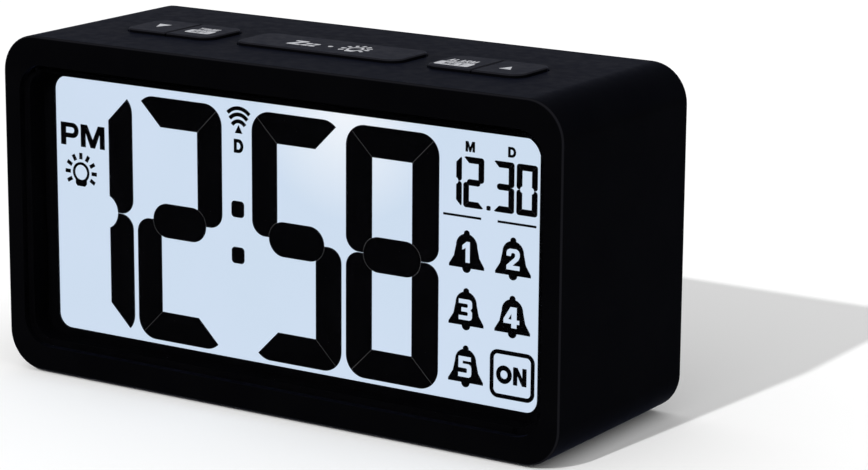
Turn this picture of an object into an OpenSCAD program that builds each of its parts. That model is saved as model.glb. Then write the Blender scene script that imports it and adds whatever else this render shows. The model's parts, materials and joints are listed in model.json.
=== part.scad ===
// Radio-controlled table alarm clock with a large liquid crystal display.
// Millimetres. +Z is up, the display faces -Y, +X is to the right seen from the front.
// The origin is at the middle of the footprint, on the surface that the feet stand on.

/* [Case] */
// Width of the case
case_w = 135; // [128:0.5:150]
// Height of the case without its feet and keys
case_h = 71.5; // [70:0.5:84]
// Depth of the case from the front face to the back
case_d = 48.6; // [47:0.2:60]
// Outer radius of the four long edges
corner_r = 8; // [6:0.5:10]
// Thickness of the side walls and of the rear cover
wall = 2.4; // [2:0.1:3]
// Thickness of the wall around the window
front_wall = 3; // [2.6:0.1:3.6]
// Gap around the rear cover in the case
cover_gap = 0.2; // [0.1:0.05:0.4]

/* [Display window] */
// Distance from the case's left and right sides to the visible display
rim_w = 8.4; // [7.6:0.1:14]
// Distance from the case's top and bottom to the visible display
rim_h = 8.7; // [8:0.1:14]
// Corner radius of the visible display
window_r = 3; // [1:0.25:5]
// How far the window's middle lies under the case's middle
window_drop = 0.3; // [0:0.1:0.6]
// Margin from the visible display to the opening in the front wall
window_margin = 1.5; // [1:0.1:1.8]
// Extra margin of that opening to the left and right
side_margin = 1.3; // [0.8:0.1:1.5]
// Depth of the display's mask behind the front face
mask_depth = 6; // [5.4:0.1:7]
// Thickness of the display's mask
mask_t = 0.6; // [0.4:0.1:1]
// Thickness of the clear lens
lens_t = 1.5; // [1:0.1:1.8]
// Width of the ledge that the lens is glued to
lens_ledge = 1.5; // [1:0.1:2]
// Gap around the lens
lens_gap = 0.15; // [0.1:0.05:0.3]

/* [Display stack] */
// Border of the glass around the visible display
glass_border = 1.2; // [1:0.1:1.3]
// Thickness of each of the two bonded glass sheets
glass_t = 1.1; // [0.7:0.1:1.4]
// Height of the contact ledge under the glass
contact_ledge = 2.8; // [2.4:0.1:3]
// Gap around the glass in its frame
glass_gap = 0.2; // [0.1:0.05:0.25]
// Thickness of the dark segments
segment_t = 0.1; // [0.08:0.02:0.2]
// Thickness of the light guide
guide_t = 3; // [2.5:0.1:4]
// Thickness of the white sheet behind the light guide
reflector_t = 0.3; // [0.2:0.05:0.5]
// Room left and right of the light guide for the lamps
lamp_room = 1.8; // [1.5:0.1:2.2]
// Thickness of the main board
board_t = 1.2; // [1:0.1:1.6]
// Gap between the display frame and the case
frame_gap = 0.4; // [0.2:0.1:0.6]

/* [Digits] */
// Height of a time digit
digit_h = 51.4; // [44:0.2:52]
// Width of a time digit
digit_w = 21.8; // [19:0.2:22]
// Stroke of a time digit
digit_stroke = 6.2; // [5:0.1:6.6]
// Outer corner radius of a time digit
digit_r = 4.4; // [2:0.1:4.8]
// Height of a date digit
date_h = 10; // [8:0.1:10.4]
// Width of a date digit
date_w = 4.65; // [4:0.05:4.8]
// Stroke of a date digit
date_stroke = 1.25; // [1:0.05:1.4]
// Width of the hairline between two segments
segment_gap = 0.1; // [0.1:0.02:0.3]

/* [Keys] */
// Front to back size of the keys
key_depth = 13.2; // [11:0.2:14]
// Room between the main board and the key board
key_board_room = 1.2; // [1.2:0.1:6]
// Width of the snooze key
snooze_w = 40; // [30:0.5:42]
// Width of a pair of keys
pair_w = 22; // [16:0.5:22]
// Space between the snooze key and a pair of keys
key_space = 6.2; // [6:0.1:8]
// Corner radius of the keys
key_r = 3; // [1:0.25:4]
// How far the keys stand above the case
key_proud = 0.7; // [0.7:0.1:1.6]
// Travel of the keys
key_travel = 0.6; // [0.3:0.1:0.6]
// Gap around a key in its opening
key_gap = 0.25; // [0.2:0.05:0.35]
// Gap between the two keys of a pair
split_gap = 0.3; // [0.25:0.05:0.5]
// Width of the flange that keeps a key in the case
flange_w = 1.2; // [1:0.1:1.3]
// Thickness of that flange
flange_t = 1.2; // [1:0.1:1.6]
// Gap over a flange when the key is up
seat_gap = 0.1; // [0.05:0.05:0.2]
// Length of the post under a key
stem_l = 1.6; // [1.2:0.1:2.4]

/* [Key switches] */
// Side of a switch housing
switch_w = 6; // [5.5:0.1:6.4]
// Height of a switch housing
switch_h = 3.2; // [3:0.1:3.8]
// Radius of a switch plunger
plunger_r = 1.7; // [1.4:0.1:1.9]
// How far a plunger stands over its housing
plunger_out = 1.4; // [1:0.1:1.8]
// Depth of a plunger in its housing when the key is up
plunger_in = 1.3; // [1:0.1:1.5]
// Gap around a plunger
plunger_gap = 0.1; // [0.1:0.05:0.2]
// Thickness of the key board
key_board_t = 1.4; // [1:0.1:1.6]

/* [Battery compartment] */
// Radius of a size AA cell
cell_r = 7.1; // [6.9:0.05:7.2]
// Length of a cell without its button
cell_l = 48.6; // [47:0.1:49]
// Radius of a cell's button
button_r = 2.6; // [2.2:0.1:2.8]
// Height of a cell's button
button_h = 1.6; // [1.2:0.1:1.8]
// Gap around the cells
cell_gap = 0.3; // [0.2:0.05:0.6]
// Length of a pressed contact spring
spring_l = 5.4; // [5:0.1:6]
// Radius of the spring wire
spring_wire = 0.35; // [0.3:0.05:0.4]
// Thickness of the contact sheets
contact_t = 0.4; // [0.3:0.05:0.5]
// Width of a contact sheet
contact_w = 10; // [8:0.5:11]
// Thickness of the compartment's walls
well_wall = 1.4; // [1.2:0.1:1.8]
// Middle of the compartment to the right of the case's middle
well_x = 14; // [8:1:16]
// Middle of the compartment under the case's middle
well_drop = 4.2; // [3:0.1:6]
// Thickness of the battery door
door_t = 2; // [1.6:0.1:2.2]
// Gap around the battery door
door_gap = 0.3; // [0.25:0.05:0.5]
// Radius of the round lower edge that the door turns on
roll_r = 1.4; // [1.3:0.05:1.6]
// Radius of the door's pivots
pivot_r = 0.7; // [0.5:0.05:0.7]
// Length of the door's pivots
pivot_l = 1.4; // [1:0.1:2]
// Gap around the pivots in their sockets
pivot_gap = 0.1; // [0.05:0.05:0.15]
// Width of the door's spring tongue
tongue_w = 12; // [8:0.5:16]
// Length of the door's spring tongue
tongue_l = 8; // [6:0.5:12]

/* [Sound and radio] */
// Radius of the sounder's brass disc
disc_r = 13.5; // [11:0.5:14]
// Thickness of the sounder's brass disc
disc_t = 0.25; // [0.2:0.05:0.4]
// Middle of the sounder to the left of the case's middle
sounder_x = 38; // [36:0.5:40]
// Number of sound slots in the rear cover
slot_count = 5; // [3:2:7]
// Radius of the ferrite rod
rod_r = 4; // [3:0.25:4.5]
// Length of the ferrite rod
rod_l = 60; // [50:1:70]
// Middle of the ferrite rod to the left of the case's middle
rod_x = 18; // [14:1:20]
// Wall of the winding on the rod
winding_t = 1.3; // [0.8:0.1:1.6]
// Length of the winding
winding_l = 20; // [12:1:26]

/* [Feet and screws] */
// Radius of a foot
foot_r = 4.5; // [3.5:0.25:6]
// How far the feet stand out under the case
foot_proud = 0.5; // [0.4:0.1:1]
// Depth of the feet in the case
foot_in = 1; // [0.6:0.1:1.2]
// Inset of the feet from the sides of the case
foot_inset_x = 13.5; // [12:0.5:20]
// Inset of the feet from the front and the back of the case
foot_inset_y = 9; // [7:0.5:12]
// Radius of the rear cover's screws
screw_r = 1.3; // [1:0.05:1.4]
// Radius of the bosses for the rear cover's screws
boss_r = 3.2; // [2.8:0.1:3.4]
// Inset of the rear cover's screws from the inside of the case
screw_inset = 4.6; // [4.2:0.1:6]
// Radius of the small board screws
small_screw_r = 0.8; // [0.6:0.05:0.85]
// Radius of the small screws' bosses
small_boss_r = 1.7; // [1.5:0.05:1.7]
// Gap around a screw in its hole
screw_gap = 0.08; // [0.05:0.01:0.12]

/* [Hidden] */
$fn = 48;
// Overlap of a cut past the face that it opens
cut = 1;

// Case: outer faces and the inner room
front_y = -case_d / 2;
back_y = case_d / 2;
base_z = foot_proud;
top_z = base_z + case_h;
mid_z = base_z + case_h / 2;
room_w = case_w - 2 * wall;
room_h = case_h - 2 * wall;
room_r = corner_r - wall;
floor_z = base_z + wall;
ceiling_z = top_z - wall;
front_in_y = front_y + front_wall;
cover_in_y = back_y - wall;

// Window and lens
window_w = case_w - 2 * rim_w;
window_h = case_h - 2 * rim_h;
window_z = mid_z - window_drop;
opening_w = window_w + 2 * (window_margin + side_margin);
opening_h = window_h + 2 * window_margin;
opening_r = window_r + window_margin;
rebate_w = opening_w + 2 * lens_ledge;
rebate_h = opening_h + 2 * lens_ledge;
rebate_r = opening_r + lens_ledge;
skirt_t = 1.2;

// Display stack, from the mask to the back of the main board
mask_y = front_y + mask_depth;
glass_y = mask_y + mask_t;
rear_glass_y = glass_y + glass_t;
guide_y = rear_glass_y + glass_t;
reflector_y = guide_y + guide_t;
board_y = reflector_y + reflector_t;
board_back_y = board_y + board_t;
glass_w = window_w + 2 * glass_border;
glass_top_z = window_z + window_h / 2 + glass_border;
glass_low_z = window_z - window_h / 2 - glass_border;
ledge_low_z = glass_low_z - contact_ledge;
guide_w = glass_w - 2 * lamp_room;
lamp_gap = 0.1;
lamp_t = lamp_room - 2 * lamp_gap;
lamp_y = 2.4;
lamp_h = 3;
strip_t = 2;
strip_side = 4;
frame_w = room_w - 2 * frame_gap;
frame_h = room_h - 2 * frame_gap;
frame_r = room_r - frame_gap;

// Small screws that hold the board and the display frame, beside the glass near its corners
pocket_w = glass_w + 2 * glass_gap;
display_screw_drop = 4;
display_screw_x = (pocket_w + frame_w) / 4;
display_screw_z = frame_h / 2 - display_screw_drop;
display_pilot = 0.9;
small_head_r = 1.7;
small_head_h = 1.2;

// Keys and their board, from the ceiling down
key_names = ["down", "set", "snooze", "mode", "up"];
pair_x = snooze_w / 2 + key_space + pair_w / 2;
key_xs = [-pair_x - pair_w / 4, -pair_x + pair_w / 4, 0, pair_x - pair_w / 4, pair_x + pair_w / 4];
flange_z = ceiling_z - seat_gap - flange_t;
stem_z = flange_z - stem_l;
stem_r = 2.2;
switch_top_z = stem_z - plunger_out;
key_board_z = switch_top_z - switch_h;
plunger_z = switch_top_z - plunger_in;
plunger_spare = 0.3;
plunger_room = plunger_in + key_travel + plunger_spare;
boss_gap = 0.6;
end_boss_r = small_boss_r + 0.4;
end_boss_x = pair_x + pair_w / 2 + flange_w + end_boss_r + boss_gap;
gap_boss_x = (snooze_w + key_space) / 2;
key_boss_xs = [-end_boss_x, -gap_boss_x, gap_boss_x, end_boss_x];
key_board_w = 2 * (end_boss_x + end_boss_r + boss_gap);
key_board_d = key_depth + 2 * flange_w;
key_row_y = board_back_y + key_board_room + key_board_d / 2;
key_pilot = 4;
pilot_spare = 0.5;
key_board_low_z = key_board_z - key_board_t;

// Ribbon between the two boards
ribbon_w = 16;
ribbon_t = 0.3;
ribbon_lap = 4;
ribbon_gap = 0.4;
ribbon_y = key_row_y - key_board_d / 2 - ribbon_gap;
ribbon_drop = 10;
socket_w = 19;
socket_h = 4;

// Rear cover, its screws and the battery compartment
cover_w = room_w - 2 * cover_gap;
cover_h = room_h - 2 * cover_gap;
cover_r = room_r - cover_gap;
cover_screw_x = room_w / 2 - screw_inset;
cover_screw_z = room_h / 2 - screw_inset;
rib_t = 1.6;
boss_clear = 1.2;
boss_start_y = board_back_y + small_head_h + boss_clear;
screw_head_r = 2.4;
screw_head_h = 1.4;
screw_l = 9;
well_z = mid_z - well_drop;
cell_pitch = 2 * cell_r + cell_gap;
well_l = cell_l + button_h + spring_l + 2 * contact_t + cell_gap;
well_h = cell_pitch + 2 * cell_r + 2 * cell_gap;
door_in_y = back_y - door_t;
cell_y = door_in_y - 2 * cell_gap - cell_r;
well_floor_y = cell_y - cell_r - cell_gap;
well_left_x = well_x - well_l / 2;
well_right_x = well_x + well_l / 2;
well_low_z = well_z - well_h / 2;
well_top_z = well_z + well_h / 2;
upper_cell_z = well_z + cell_pitch / 2;
lower_cell_z = well_z - cell_pitch / 2;
// The upper cell's button is at the left end and the lower cell's at the right end
upper_cell_x = well_left_x + contact_t + cell_gap / 2 + button_h;
lower_cell_x = well_right_x - contact_t - cell_gap / 2 - button_h - cell_l;
contact_inset = 1.5;
contact_h = 2 * (cell_r - contact_inset);
tab_w = 4;
tab_l = 3;
tab_gap = 0.2;

// Battery door: its axis and its spring tongue
axis_y = back_y - roll_r;
axis_z = well_low_z + door_gap + roll_r;
door_w = well_l - 2 * door_gap;
door_top_z = well_top_z - door_gap;
tongue_slot = 0.8;
tongue_dip = 0.6;
scoop_r = 9;
scoop_dip = 0.9;

// Contact springs: turns and end radii
spring_turns = 3;
spring_base_r = 4.2;
spring_tip_r = 2.6;
spring_rings = 8;
spring_sides = 6;
spring_touch = 0.05;

// Battery leads, from the contacts' tabs to the main board
lead_r = 0.6;
lead_sides = 8;
lead_end = 2;
lead_shift = 4;
lead_step = 4;
lead_tab_y = well_floor_y - well_wall - tab_l;
function lead_route(cell_z, board_z) =
  let (tab = [well_left_x + contact_t / 2, lead_tab_y, cell_z])
  let (pad = [tab[0] - lead_shift, board_back_y, board_z])
  let (out = [0, lead_end, 0])
  [tab, tab - out, (tab + pad) / 2, pad + out, pad];
positive_route = lead_route(upper_cell_z, well_z + lead_step);
negative_route = lead_route(lower_cell_z, well_z - lead_step);

// Sounder in its ring on the rear cover
sounder_z = well_z;
ring_gap = 0.2;
ring_t = 1.4;
ring_h = 4;
ring_seat = 0.9;
ring_step = 2.2;
ring_seat_y = cover_in_y - ring_step;
ceramic_inset = 4;
ceramic_r = disc_r - ceramic_inset;
ceramic_t = 0.2;
slot_w = 1.6;
slot_pitch = 3.6;
slot_h = 14;

// Radio receiver and its ferrite rod
rod_gap = 0.1;
clip_t = 4;
clip_w = 12;
clip_rise = 1.6;
rod_y = -1;
rod_z = floor_z + rod_r + clip_rise;
clip_h = 2 * rod_r + 2 * clip_rise;
winding_gap = 8;
winding_x = -rod_x + rod_l / 2 - clip_t - winding_l / 2 - winding_gap;
receiver_x = 30;
receiver_w = 24;
receiver_h = 13;
receiver_t = 1;
receiver_drop = 28;
receiver_low_z = window_z - receiver_drop;
header_w = 8;
header_h = 2.5;
header_l = 2.5;
receiver_y = board_back_y + header_l;
chip_w = 5;
chip_h = 4;
chip_t = 1.2;

// Parts on the main board
blob_x = -30;
blob_rise = 8;
blob_z = window_z + blob_rise;
blob_r = 7;
blob_h = 1.6;
crystal_x = -44;
crystal_r = 1.5;
crystal_l = 6;
crystal_gap = 0.05;

// Display artwork, drawn about the middle of a panel of this size and fitted to the window
art_w = 118.2;
art_h = 54.1;
art_scale = min(window_w / art_w, window_h / art_h);
digit_drop = 0.5;
digit_xs = [-49.9, -27, 2.3, 25.2];
digits_on = ["bc", "abged", "afgcd", "abcdefg"];
pill_h = 7.2;
pill_w = 13.5;
// A full round end keeps this much of a flat, so that its outline stays whole
pill_flat = 0.01;
colon_x = -12.2;
colon_w = 3.15;
colon_h = 3.4;
colon_r = 0.8;
colon_rise = 4.8;
date_rise = 16.8;
date_xs = [38.92, 43.95, 50.72, 55.9];
date_lap = 1.3;
dates_on = ["bc", "abged", "abgcd", "abcdef"];
dot_x = 47.35;
dot_w = 0.9;
rule_xs = [41.4, 53.75];
rule_w = 8.6;
rule_h = 0.45;
rule_rise = 9.95;
bell_xs = [42.5, 53];
bell_zs = [-0.25, -11.75, -23.25];
bell_r = 2.4;
bell_lip = 4;
bell_foot = 0.5;
bell_waist = 2.9;
bell_waist_z = 2.2;
bell_dome_z = 4.4;
bell_knob_r = 0.65;
bell_knob_z = 6.85;
bell_clapper_r = 0.95;
on_box_x = 53.1;
on_box_drop = 20.2;
on_box_w = 10.1;
on_box_h = 9.7;
on_box_r = 1.8;
on_box_line = 0.85;

// Shared shapes

// Rounded rectangle about the origin
module rounded(w, h, r) {
  square([w - 2 * r, h], center = true);
  square([w, h - 2 * r], center = true);
  for (x = [-1, 1], y = [-1, 1])
    translate([x * (w / 2 - r), y * (h / 2 - r)]) circle(r);
}

// Rounded upright plate between two depths
module plate(w, h, r, y0, y1, x, z) {
  translate([x, y1, z]) rotate([90, 0, 0]) linear_extrude(y1 - y0) rounded(w, h, r);
}

// Box between two corners
module block(low, high) {
  translate(low) cube(high - low);
}

// Round bar along the depth
module bar_y(r, y0, y1, x, z) {
  translate([x, y1, z]) rotate([90, 0, 0]) cylinder(r = r, h = y1 - y0);
}

// Round bar along the width
module bar_x(r, x0, x1, y, z) {
  translate([x0, y, z]) rotate([0, 90, 0]) cylinder(r = r, h = x1 - x0);
}

// Flat shape drawn in X and Z, between two depths
module flat(y0, y1) {
  translate([0, y1, 0]) rotate([90, 0, 0]) linear_extrude(y1 - y0) children();
}

// The four mirror places of a corner feature
module corners(x, z, middle_z) {
  for (sx = [-1, 1], sz = [-1, 1])
    translate([sx * x, 0, middle_z + sz * z]) children();
}

function unit(v) = v / norm(v);
function tangent(p, i) = unit(p[min(i + 1, len(p) - 1)] - p[max(i - 1, 0)]);
function carried(normal, t) = unit(normal - (normal * t) * t);
function normals(p, i = 0, last = [0, 0, 1]) =
  i == len(p) ? [] :
  let (n = carried(last, tangent(p, i)))
  concat([n], normals(p, i + 1, n));

// Tube of a given radius and number of sides along a list of points
module tube(p, r, sides) {
  ns = normals(p);
  rings = len(p);
  points = [
    for (i = [0 : rings - 1], k = [0 : sides - 1])
      let (a = 360 * k / sides, t = tangent(p, i))
      p[i] + r * (cos(a) * ns[i] + sin(a) * cross(t, ns[i]))
  ];
  sides_a = [
    for (i = [0 : rings - 2], k = [0 : sides - 1])
      [i * sides + k, (i + 1) * sides + k, i * sides + (k + 1) % sides]
  ];
  sides_b = [
    for (i = [0 : rings - 2], k = [0 : sides - 1])
      [i * sides + (k + 1) % sides, (i + 1) * sides + k, (i + 1) * sides + (k + 1) % sides]
  ];
  first_cap = [for (k = [1 : sides - 2]) [0, k, k + 1]];
  end = (rings - 1) * sides;
  last_cap = [for (k = [1 : sides - 2]) [end, end + k + 1, end + k]];
  polyhedron(points, concat(sides_a, sides_b, first_cap, last_cap));
}

// Case

module key_opening(w) {
  rounded(w + 2 * key_gap, key_depth + 2 * key_gap, key_r + key_gap);
}

module front_case() {
  color("#151618") difference() {
    union() {
      difference() {
        plate(case_w, case_h, corner_r, front_y, back_y, 0, mid_z);
        plate(room_w, room_h, room_r, front_in_y, back_y + cut, 0, mid_z);
      }
      plate(opening_w + 2 * skirt_t, opening_h + 2 * skirt_t, opening_r + skirt_t,
            front_in_y - cut, mask_y, 0, window_z);
      corners(display_screw_x, display_screw_z, mid_z)
        bar_y(small_boss_r, front_in_y - cut / 2, mask_y, 0, 0);
      corners(cover_screw_x, cover_screw_z, mid_z)
        bar_y(boss_r, boss_start_y, cover_in_y, 0, 0);
      for (sx = [-1, 1], sz = [-1, 1]) mirror([sx < 0 ? 1 : 0, 0, 0])
        translate([cover_screw_x, boss_start_y, mid_z + sz * cover_screw_z]) boss_ribs(sz);
      for (x = key_boss_xs)
        translate([x, key_row_y, key_board_z])
          cylinder(r = abs(x) < pair_x ? small_boss_r : end_boss_r, h = ceiling_z - key_board_z + wall / 2);
    }
    plate(opening_w, opening_h, opening_r, front_y - cut, mask_y + cut, 0, window_z);
    plate(rebate_w, rebate_h, rebate_r, front_y - cut, front_y + lens_t, 0, window_z);
    corners(display_screw_x, display_screw_z, mid_z)
      bar_y(small_screw_r + screw_gap, front_in_y - display_pilot, mask_y + cut, 0, 0);
    corners(cover_screw_x, cover_screw_z, mid_z)
      bar_y(screw_r + screw_gap, cover_in_y - screw_l, cover_in_y + cut, 0, 0);
    for (x = key_boss_xs)
      translate([x, key_row_y, key_board_z - cut])
        cylinder(r = small_screw_r + screw_gap, h = key_pilot + cut);
    translate([0, key_row_y, ceiling_z - cut]) linear_extrude(wall + 2 * cut) {
      key_opening(snooze_w);
      for (side = [-1, 1]) translate([side * pair_x, 0]) key_opening(pair_w);
    }
    feet_places()
      translate([0, 0, base_z - cut]) cylinder(r = foot_r + screw_gap, h = foot_in + cut);
  }
}

// Two ribs that tie a cover screw's boss to the walls beside it
module boss_ribs(up) {
  reach = screw_inset + wall / 2;
  run = cover_in_y - boss_start_y;
  translate([0, 0, -rib_t / 2]) cube([reach, run, rib_t]);
  mirror([0, 0, up < 0 ? 1 : 0]) translate([-rib_t / 2, 0, 0]) cube([rib_t, run, reach]);
}

module feet_places() {
  for (x = [-1, 1], y = [-1, 1])
    translate([x * (case_w / 2 - foot_inset_x), y * (case_d / 2 - foot_inset_y), 0]) children();
}

module rubber_feet() {
  color("#202022") feet_places() cylinder(r = foot_r, h = foot_proud + foot_in);
}

module display_lens() {
  color("#d8e4ee", 0.3)
    plate(rebate_w - 2 * lens_gap, rebate_h - 2 * lens_gap, rebate_r - lens_gap,
          front_y, front_y + lens_t, 0, window_z);
}

// Display

module lcd_frame() {
  color("#0e0e10") difference() {
    plate(frame_w, frame_h, frame_r, mask_y, board_y, 0, mid_z);
    plate(window_w, window_h, window_r, mask_y - cut, glass_y + cut, 0, window_z);
    block([-pocket_w / 2, glass_y, ledge_low_z - glass_gap],
          [pocket_w / 2, board_y + cut, glass_top_z + glass_gap]);
    corners(display_screw_x, display_screw_z, mid_z)
      bar_y(small_screw_r + screw_gap, mask_y - cut, board_y + cut, 0, 0);
  }
}

module lcd_glass() {
  color("#ceddf0") union() {
    block([-glass_w / 2, glass_y, ledge_low_z], [glass_w / 2, rear_glass_y, glass_top_z]);
    block([-glass_w / 2, rear_glass_y, glass_low_z], [glass_w / 2, guide_y, glass_top_z]);
  }
}

module light_guide() {
  color("#e6f0fa", 0.6)
    block([-guide_w / 2, guide_y, glass_low_z], [guide_w / 2, reflector_y, glass_top_z]);
}

module reflector_sheet() {
  color("white")
    block([-guide_w / 2, reflector_y, glass_low_z], [guide_w / 2, board_y, glass_top_z]);
}

module backlight_leds() {
  color("#f4f0d8") for (sx = [-1, 1], sz = [-1, 1])
    translate([sx * (guide_w + lamp_room) / 2, board_y - lamp_y / 2, window_z + sz * window_h / 4])
      cube([lamp_t, lamp_y, lamp_h], center = true);
}

module contact_strip() {
  strip_z = (glass_low_z + ledge_low_z) / 2;
  color("#55565a")
    block([-glass_w / 2 + strip_side, rear_glass_y, strip_z - strip_t / 2],
          [glass_w / 2 - strip_side, board_y, strip_z + strip_t / 2]);
}

// One horizontal end segment of a digit, at its top
module end_segment(w, h, stroke, r, gap) {
  slant = gap / sqrt(2);
  intersection() {
    rounded(w, h, r);
    polygon([
      [-w / 2 + slant, h / 2], [w / 2 - slant, h / 2],
      [w / 2 - stroke - slant, h / 2 - stroke], [-w / 2 + stroke + slant, h / 2 - stroke]
    ]);
  }
}

// One upright segment of a digit, at its upper right
module side_segment(w, h, stroke, r, gap, mid_w, mid_h) {
  slant = gap / sqrt(2);
  waist_r = stroke / 2;
  difference() {
    intersection() {
      rounded(w, h, r);
      polygon([
        [w / 2, h / 2 - slant], [w / 2, gap / 2],
        [w / 2 - stroke, gap / 2], [w / 2 - stroke, h / 2 - stroke - slant]
      ]);
    }
    rounded(mid_w + 2 * gap, mid_h + 2 * gap, mid_h / 2 + gap - pill_flat);
    translate([w / 2, gap / 2]) difference() {
      square(2 * waist_r, center = true);
      translate([-waist_r, waist_r]) circle(waist_r);
    }
  }
}

// A seven-segment digit with the named segments shown
module seven_segment(on, w, h, stroke, r, gap, mid_w, mid_h) {
  function shown(letter) = len(search(letter, on)) > 0;
  for (flip = [0, 1]) mirror([0, flip, 0]) {
    if (shown(flip == 0 ? "a" : "d")) end_segment(w, h, stroke, r, gap);
    if (shown(flip == 0 ? "b" : "c")) side_segment(w, h, stroke, r, gap, mid_w, mid_h);
    if (shown(flip == 0 ? "f" : "e"))
      mirror([1, 0, 0]) side_segment(w, h, stroke, r, gap, mid_w, mid_h);
  }
  if (shown("g")) rounded(mid_w, mid_h, mid_h / 2 - pill_flat);
}

// Outline of an alarm bell, standing on its lip
module bell() {
  polygon([
    [-bell_lip, 0], [bell_lip, 0], [bell_lip, bell_foot], [bell_waist, bell_waist_z],
    [bell_r, bell_dome_z], [-bell_r, bell_dome_z], [-bell_waist, bell_waist_z],
    [-bell_lip, bell_foot]
  ]);
  translate([0, bell_dome_z]) circle(bell_r);
  translate([0, bell_knob_z]) circle(bell_knob_r);
  circle(bell_clapper_r);
}

// Everything that the display shows, about its middle
module artwork() {
  for (i = [0 : len(digit_xs) - 1]) translate([digit_xs[i], -digit_drop])
    seven_segment(digits_on[i], digit_w, digit_h, digit_stroke, digit_r, segment_gap, pill_w, pill_h);
  for (i = [0 : len(date_xs) - 1]) translate([date_xs[i], date_rise])
    seven_segment(dates_on[i], date_w, date_h, date_stroke, date_stroke / 2, segment_gap / 2,
                  date_w - date_lap * date_stroke, date_stroke);
  for (side = [-1, 1]) translate([colon_x, side * colon_rise - digit_drop])
    rounded(colon_w, colon_h, colon_r);
  translate([dot_x, date_rise - date_h / 2 + dot_w / 2]) rounded(dot_w, dot_w, dot_w / 4);
  for (x = rule_xs) translate([x, rule_rise]) square([rule_w, rule_h], center = true);
  for (row = [0 : len(bell_zs) - 1], x = bell_xs)
    if (row < len(bell_zs) - 1 || x == bell_xs[0]) translate([x, bell_zs[row]]) bell();
  translate([on_box_x, -on_box_drop]) difference() {
    rounded(on_box_w, on_box_h, on_box_r);
    rounded(on_box_w - 2 * on_box_line, on_box_h - 2 * on_box_line, on_box_r - on_box_line);
  }
}

module lcd_segments() {
  color("#050506") translate([0, 0, window_z]) flat(glass_y - segment_t, glass_y)
    scale(art_scale) artwork();
}

// Main board and what it carries

module main_board() {
  color("#2d5a35") difference() {
    plate(frame_w, frame_h, frame_r, board_y, board_back_y, 0, mid_z);
    corners(display_screw_x, display_screw_z, mid_z)
      bar_y(small_screw_r + screw_gap, board_y - cut, board_back_y + cut, 0, 0);
  }
}

module display_screws() {
  color("silver") corners(display_screw_x, display_screw_z, mid_z) {
    bar_y(small_head_r, board_back_y, board_back_y + small_head_h, 0, 0);
    bar_y(small_screw_r, front_in_y - display_pilot / 2, board_back_y + cut / 2, 0, 0);
  }
}

module controller_blob() {
  ball_r = (blob_r * blob_r + blob_h * blob_h) / (2 * blob_h);
  color("#141414") translate([blob_x, board_back_y, blob_z]) rotate([-90, 0, 0])
    rotate_extrude($fn = 96) intersection() {
      translate([0, blob_h - ball_r]) circle(ball_r, $fn = 360);
      square([blob_r, blob_h]);
    }
}

module crystal() {
  color("silver") translate([crystal_x, board_back_y + crystal_r + crystal_gap, blob_z])
    cylinder(r = crystal_r, h = crystal_l, center = true);
}

module receiver_header() {
  header_z = receiver_low_z + receiver_h / 2;
  color("#18181a")
    block([receiver_x - header_w / 2, board_back_y, header_z - header_h / 2],
          [receiver_x + header_w / 2, receiver_y, header_z + header_h / 2]);
}

module receiver_board() {
  color("#2d5a35")
    block([receiver_x - receiver_w / 2, receiver_y, receiver_low_z],
          [receiver_x + receiver_w / 2, receiver_y + receiver_t, receiver_low_z + receiver_h]);
}

module receiver_chip() {
  chip_z = receiver_low_z + receiver_h / 2;
  chip_y = receiver_y + receiver_t;
  color("#141414")
    block([receiver_x - chip_w / 2, chip_y, chip_z - chip_h / 2],
          [receiver_x + chip_w / 2, chip_y + chip_t, chip_z + chip_h / 2]);
}

module ferrite_rod() {
  color("#3a3a3c") bar_x(rod_r, -rod_x - rod_l / 2, -rod_x + rod_l / 2, rod_y, rod_z);
}

module antenna_coil() {
  color("#a0522d") difference() {
    bar_x(rod_r + winding_t, winding_x - winding_l / 2, winding_x + winding_l / 2, rod_y, rod_z);
    bar_x(rod_r + rod_gap, winding_x - winding_l, winding_x + winding_l, rod_y, rod_z);
  }
}

module antenna_clips() {
  color("#e8e8e4") for (side = [-1, 1])
    translate([-rod_x + side * (rod_l / 2 - clip_t), rod_y, floor_z]) difference() {
      translate([-clip_t / 2, -clip_w / 2, 0]) cube([clip_t, clip_w, clip_h]);
      bar_x(rod_r + rod_gap, -clip_t, clip_t, 0, rod_z - floor_z);
    }
}

// Keys

// Flat outline of a key grown by a margin; pairs are cut at the gap between their two keys
module key_outline(i, grow) {
  name = key_names[i];
  w = (name == "snooze" ? snooze_w : pair_w) + 2 * grow;
  side = key_xs[i] > 0 ? 1 : -1;
  middle = name == "snooze" ? 0 : side * pair_x;
  half = key_xs[i] > middle ? 1 : -1;
  intersection() {
    translate([middle, key_row_y]) rounded(w, key_depth + 2 * grow, key_r + grow);
    if (name == "snooze") translate([0, key_row_y]) square([2 * w, 2 * w], center = true);
    else translate([middle + half * (w / 2 + split_gap / 2), key_row_y]) square([w, 2 * w], center = true);
  }
}

module key(i) {
  color("#2a2b30") union() {
    translate([0, 0, flange_z]) {
      linear_extrude(top_z + key_proud - flange_z) key_outline(i, 0);
      linear_extrude(flange_t) key_outline(i, flange_w);
    }
    translate([key_xs[i], key_row_y, stem_z]) cylinder(r = stem_r, h = stem_l + flange_t / 2);
  }
}

module plunger(i) {
  color("#d8c9a0") translate([key_xs[i], key_row_y, plunger_z])
    cylinder(r = plunger_r, h = plunger_in + plunger_out);
}

module switch_housings() {
  color("#1c1c1e") for (x = key_xs) translate([x, key_row_y, key_board_z]) difference() {
    translate([-switch_w / 2, -switch_w / 2, 0]) cube([switch_w, switch_w, switch_h]);
    translate([0, 0, switch_h - plunger_room])
      cylinder(r = plunger_r + plunger_gap, h = plunger_room + cut);
  }
}

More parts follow.
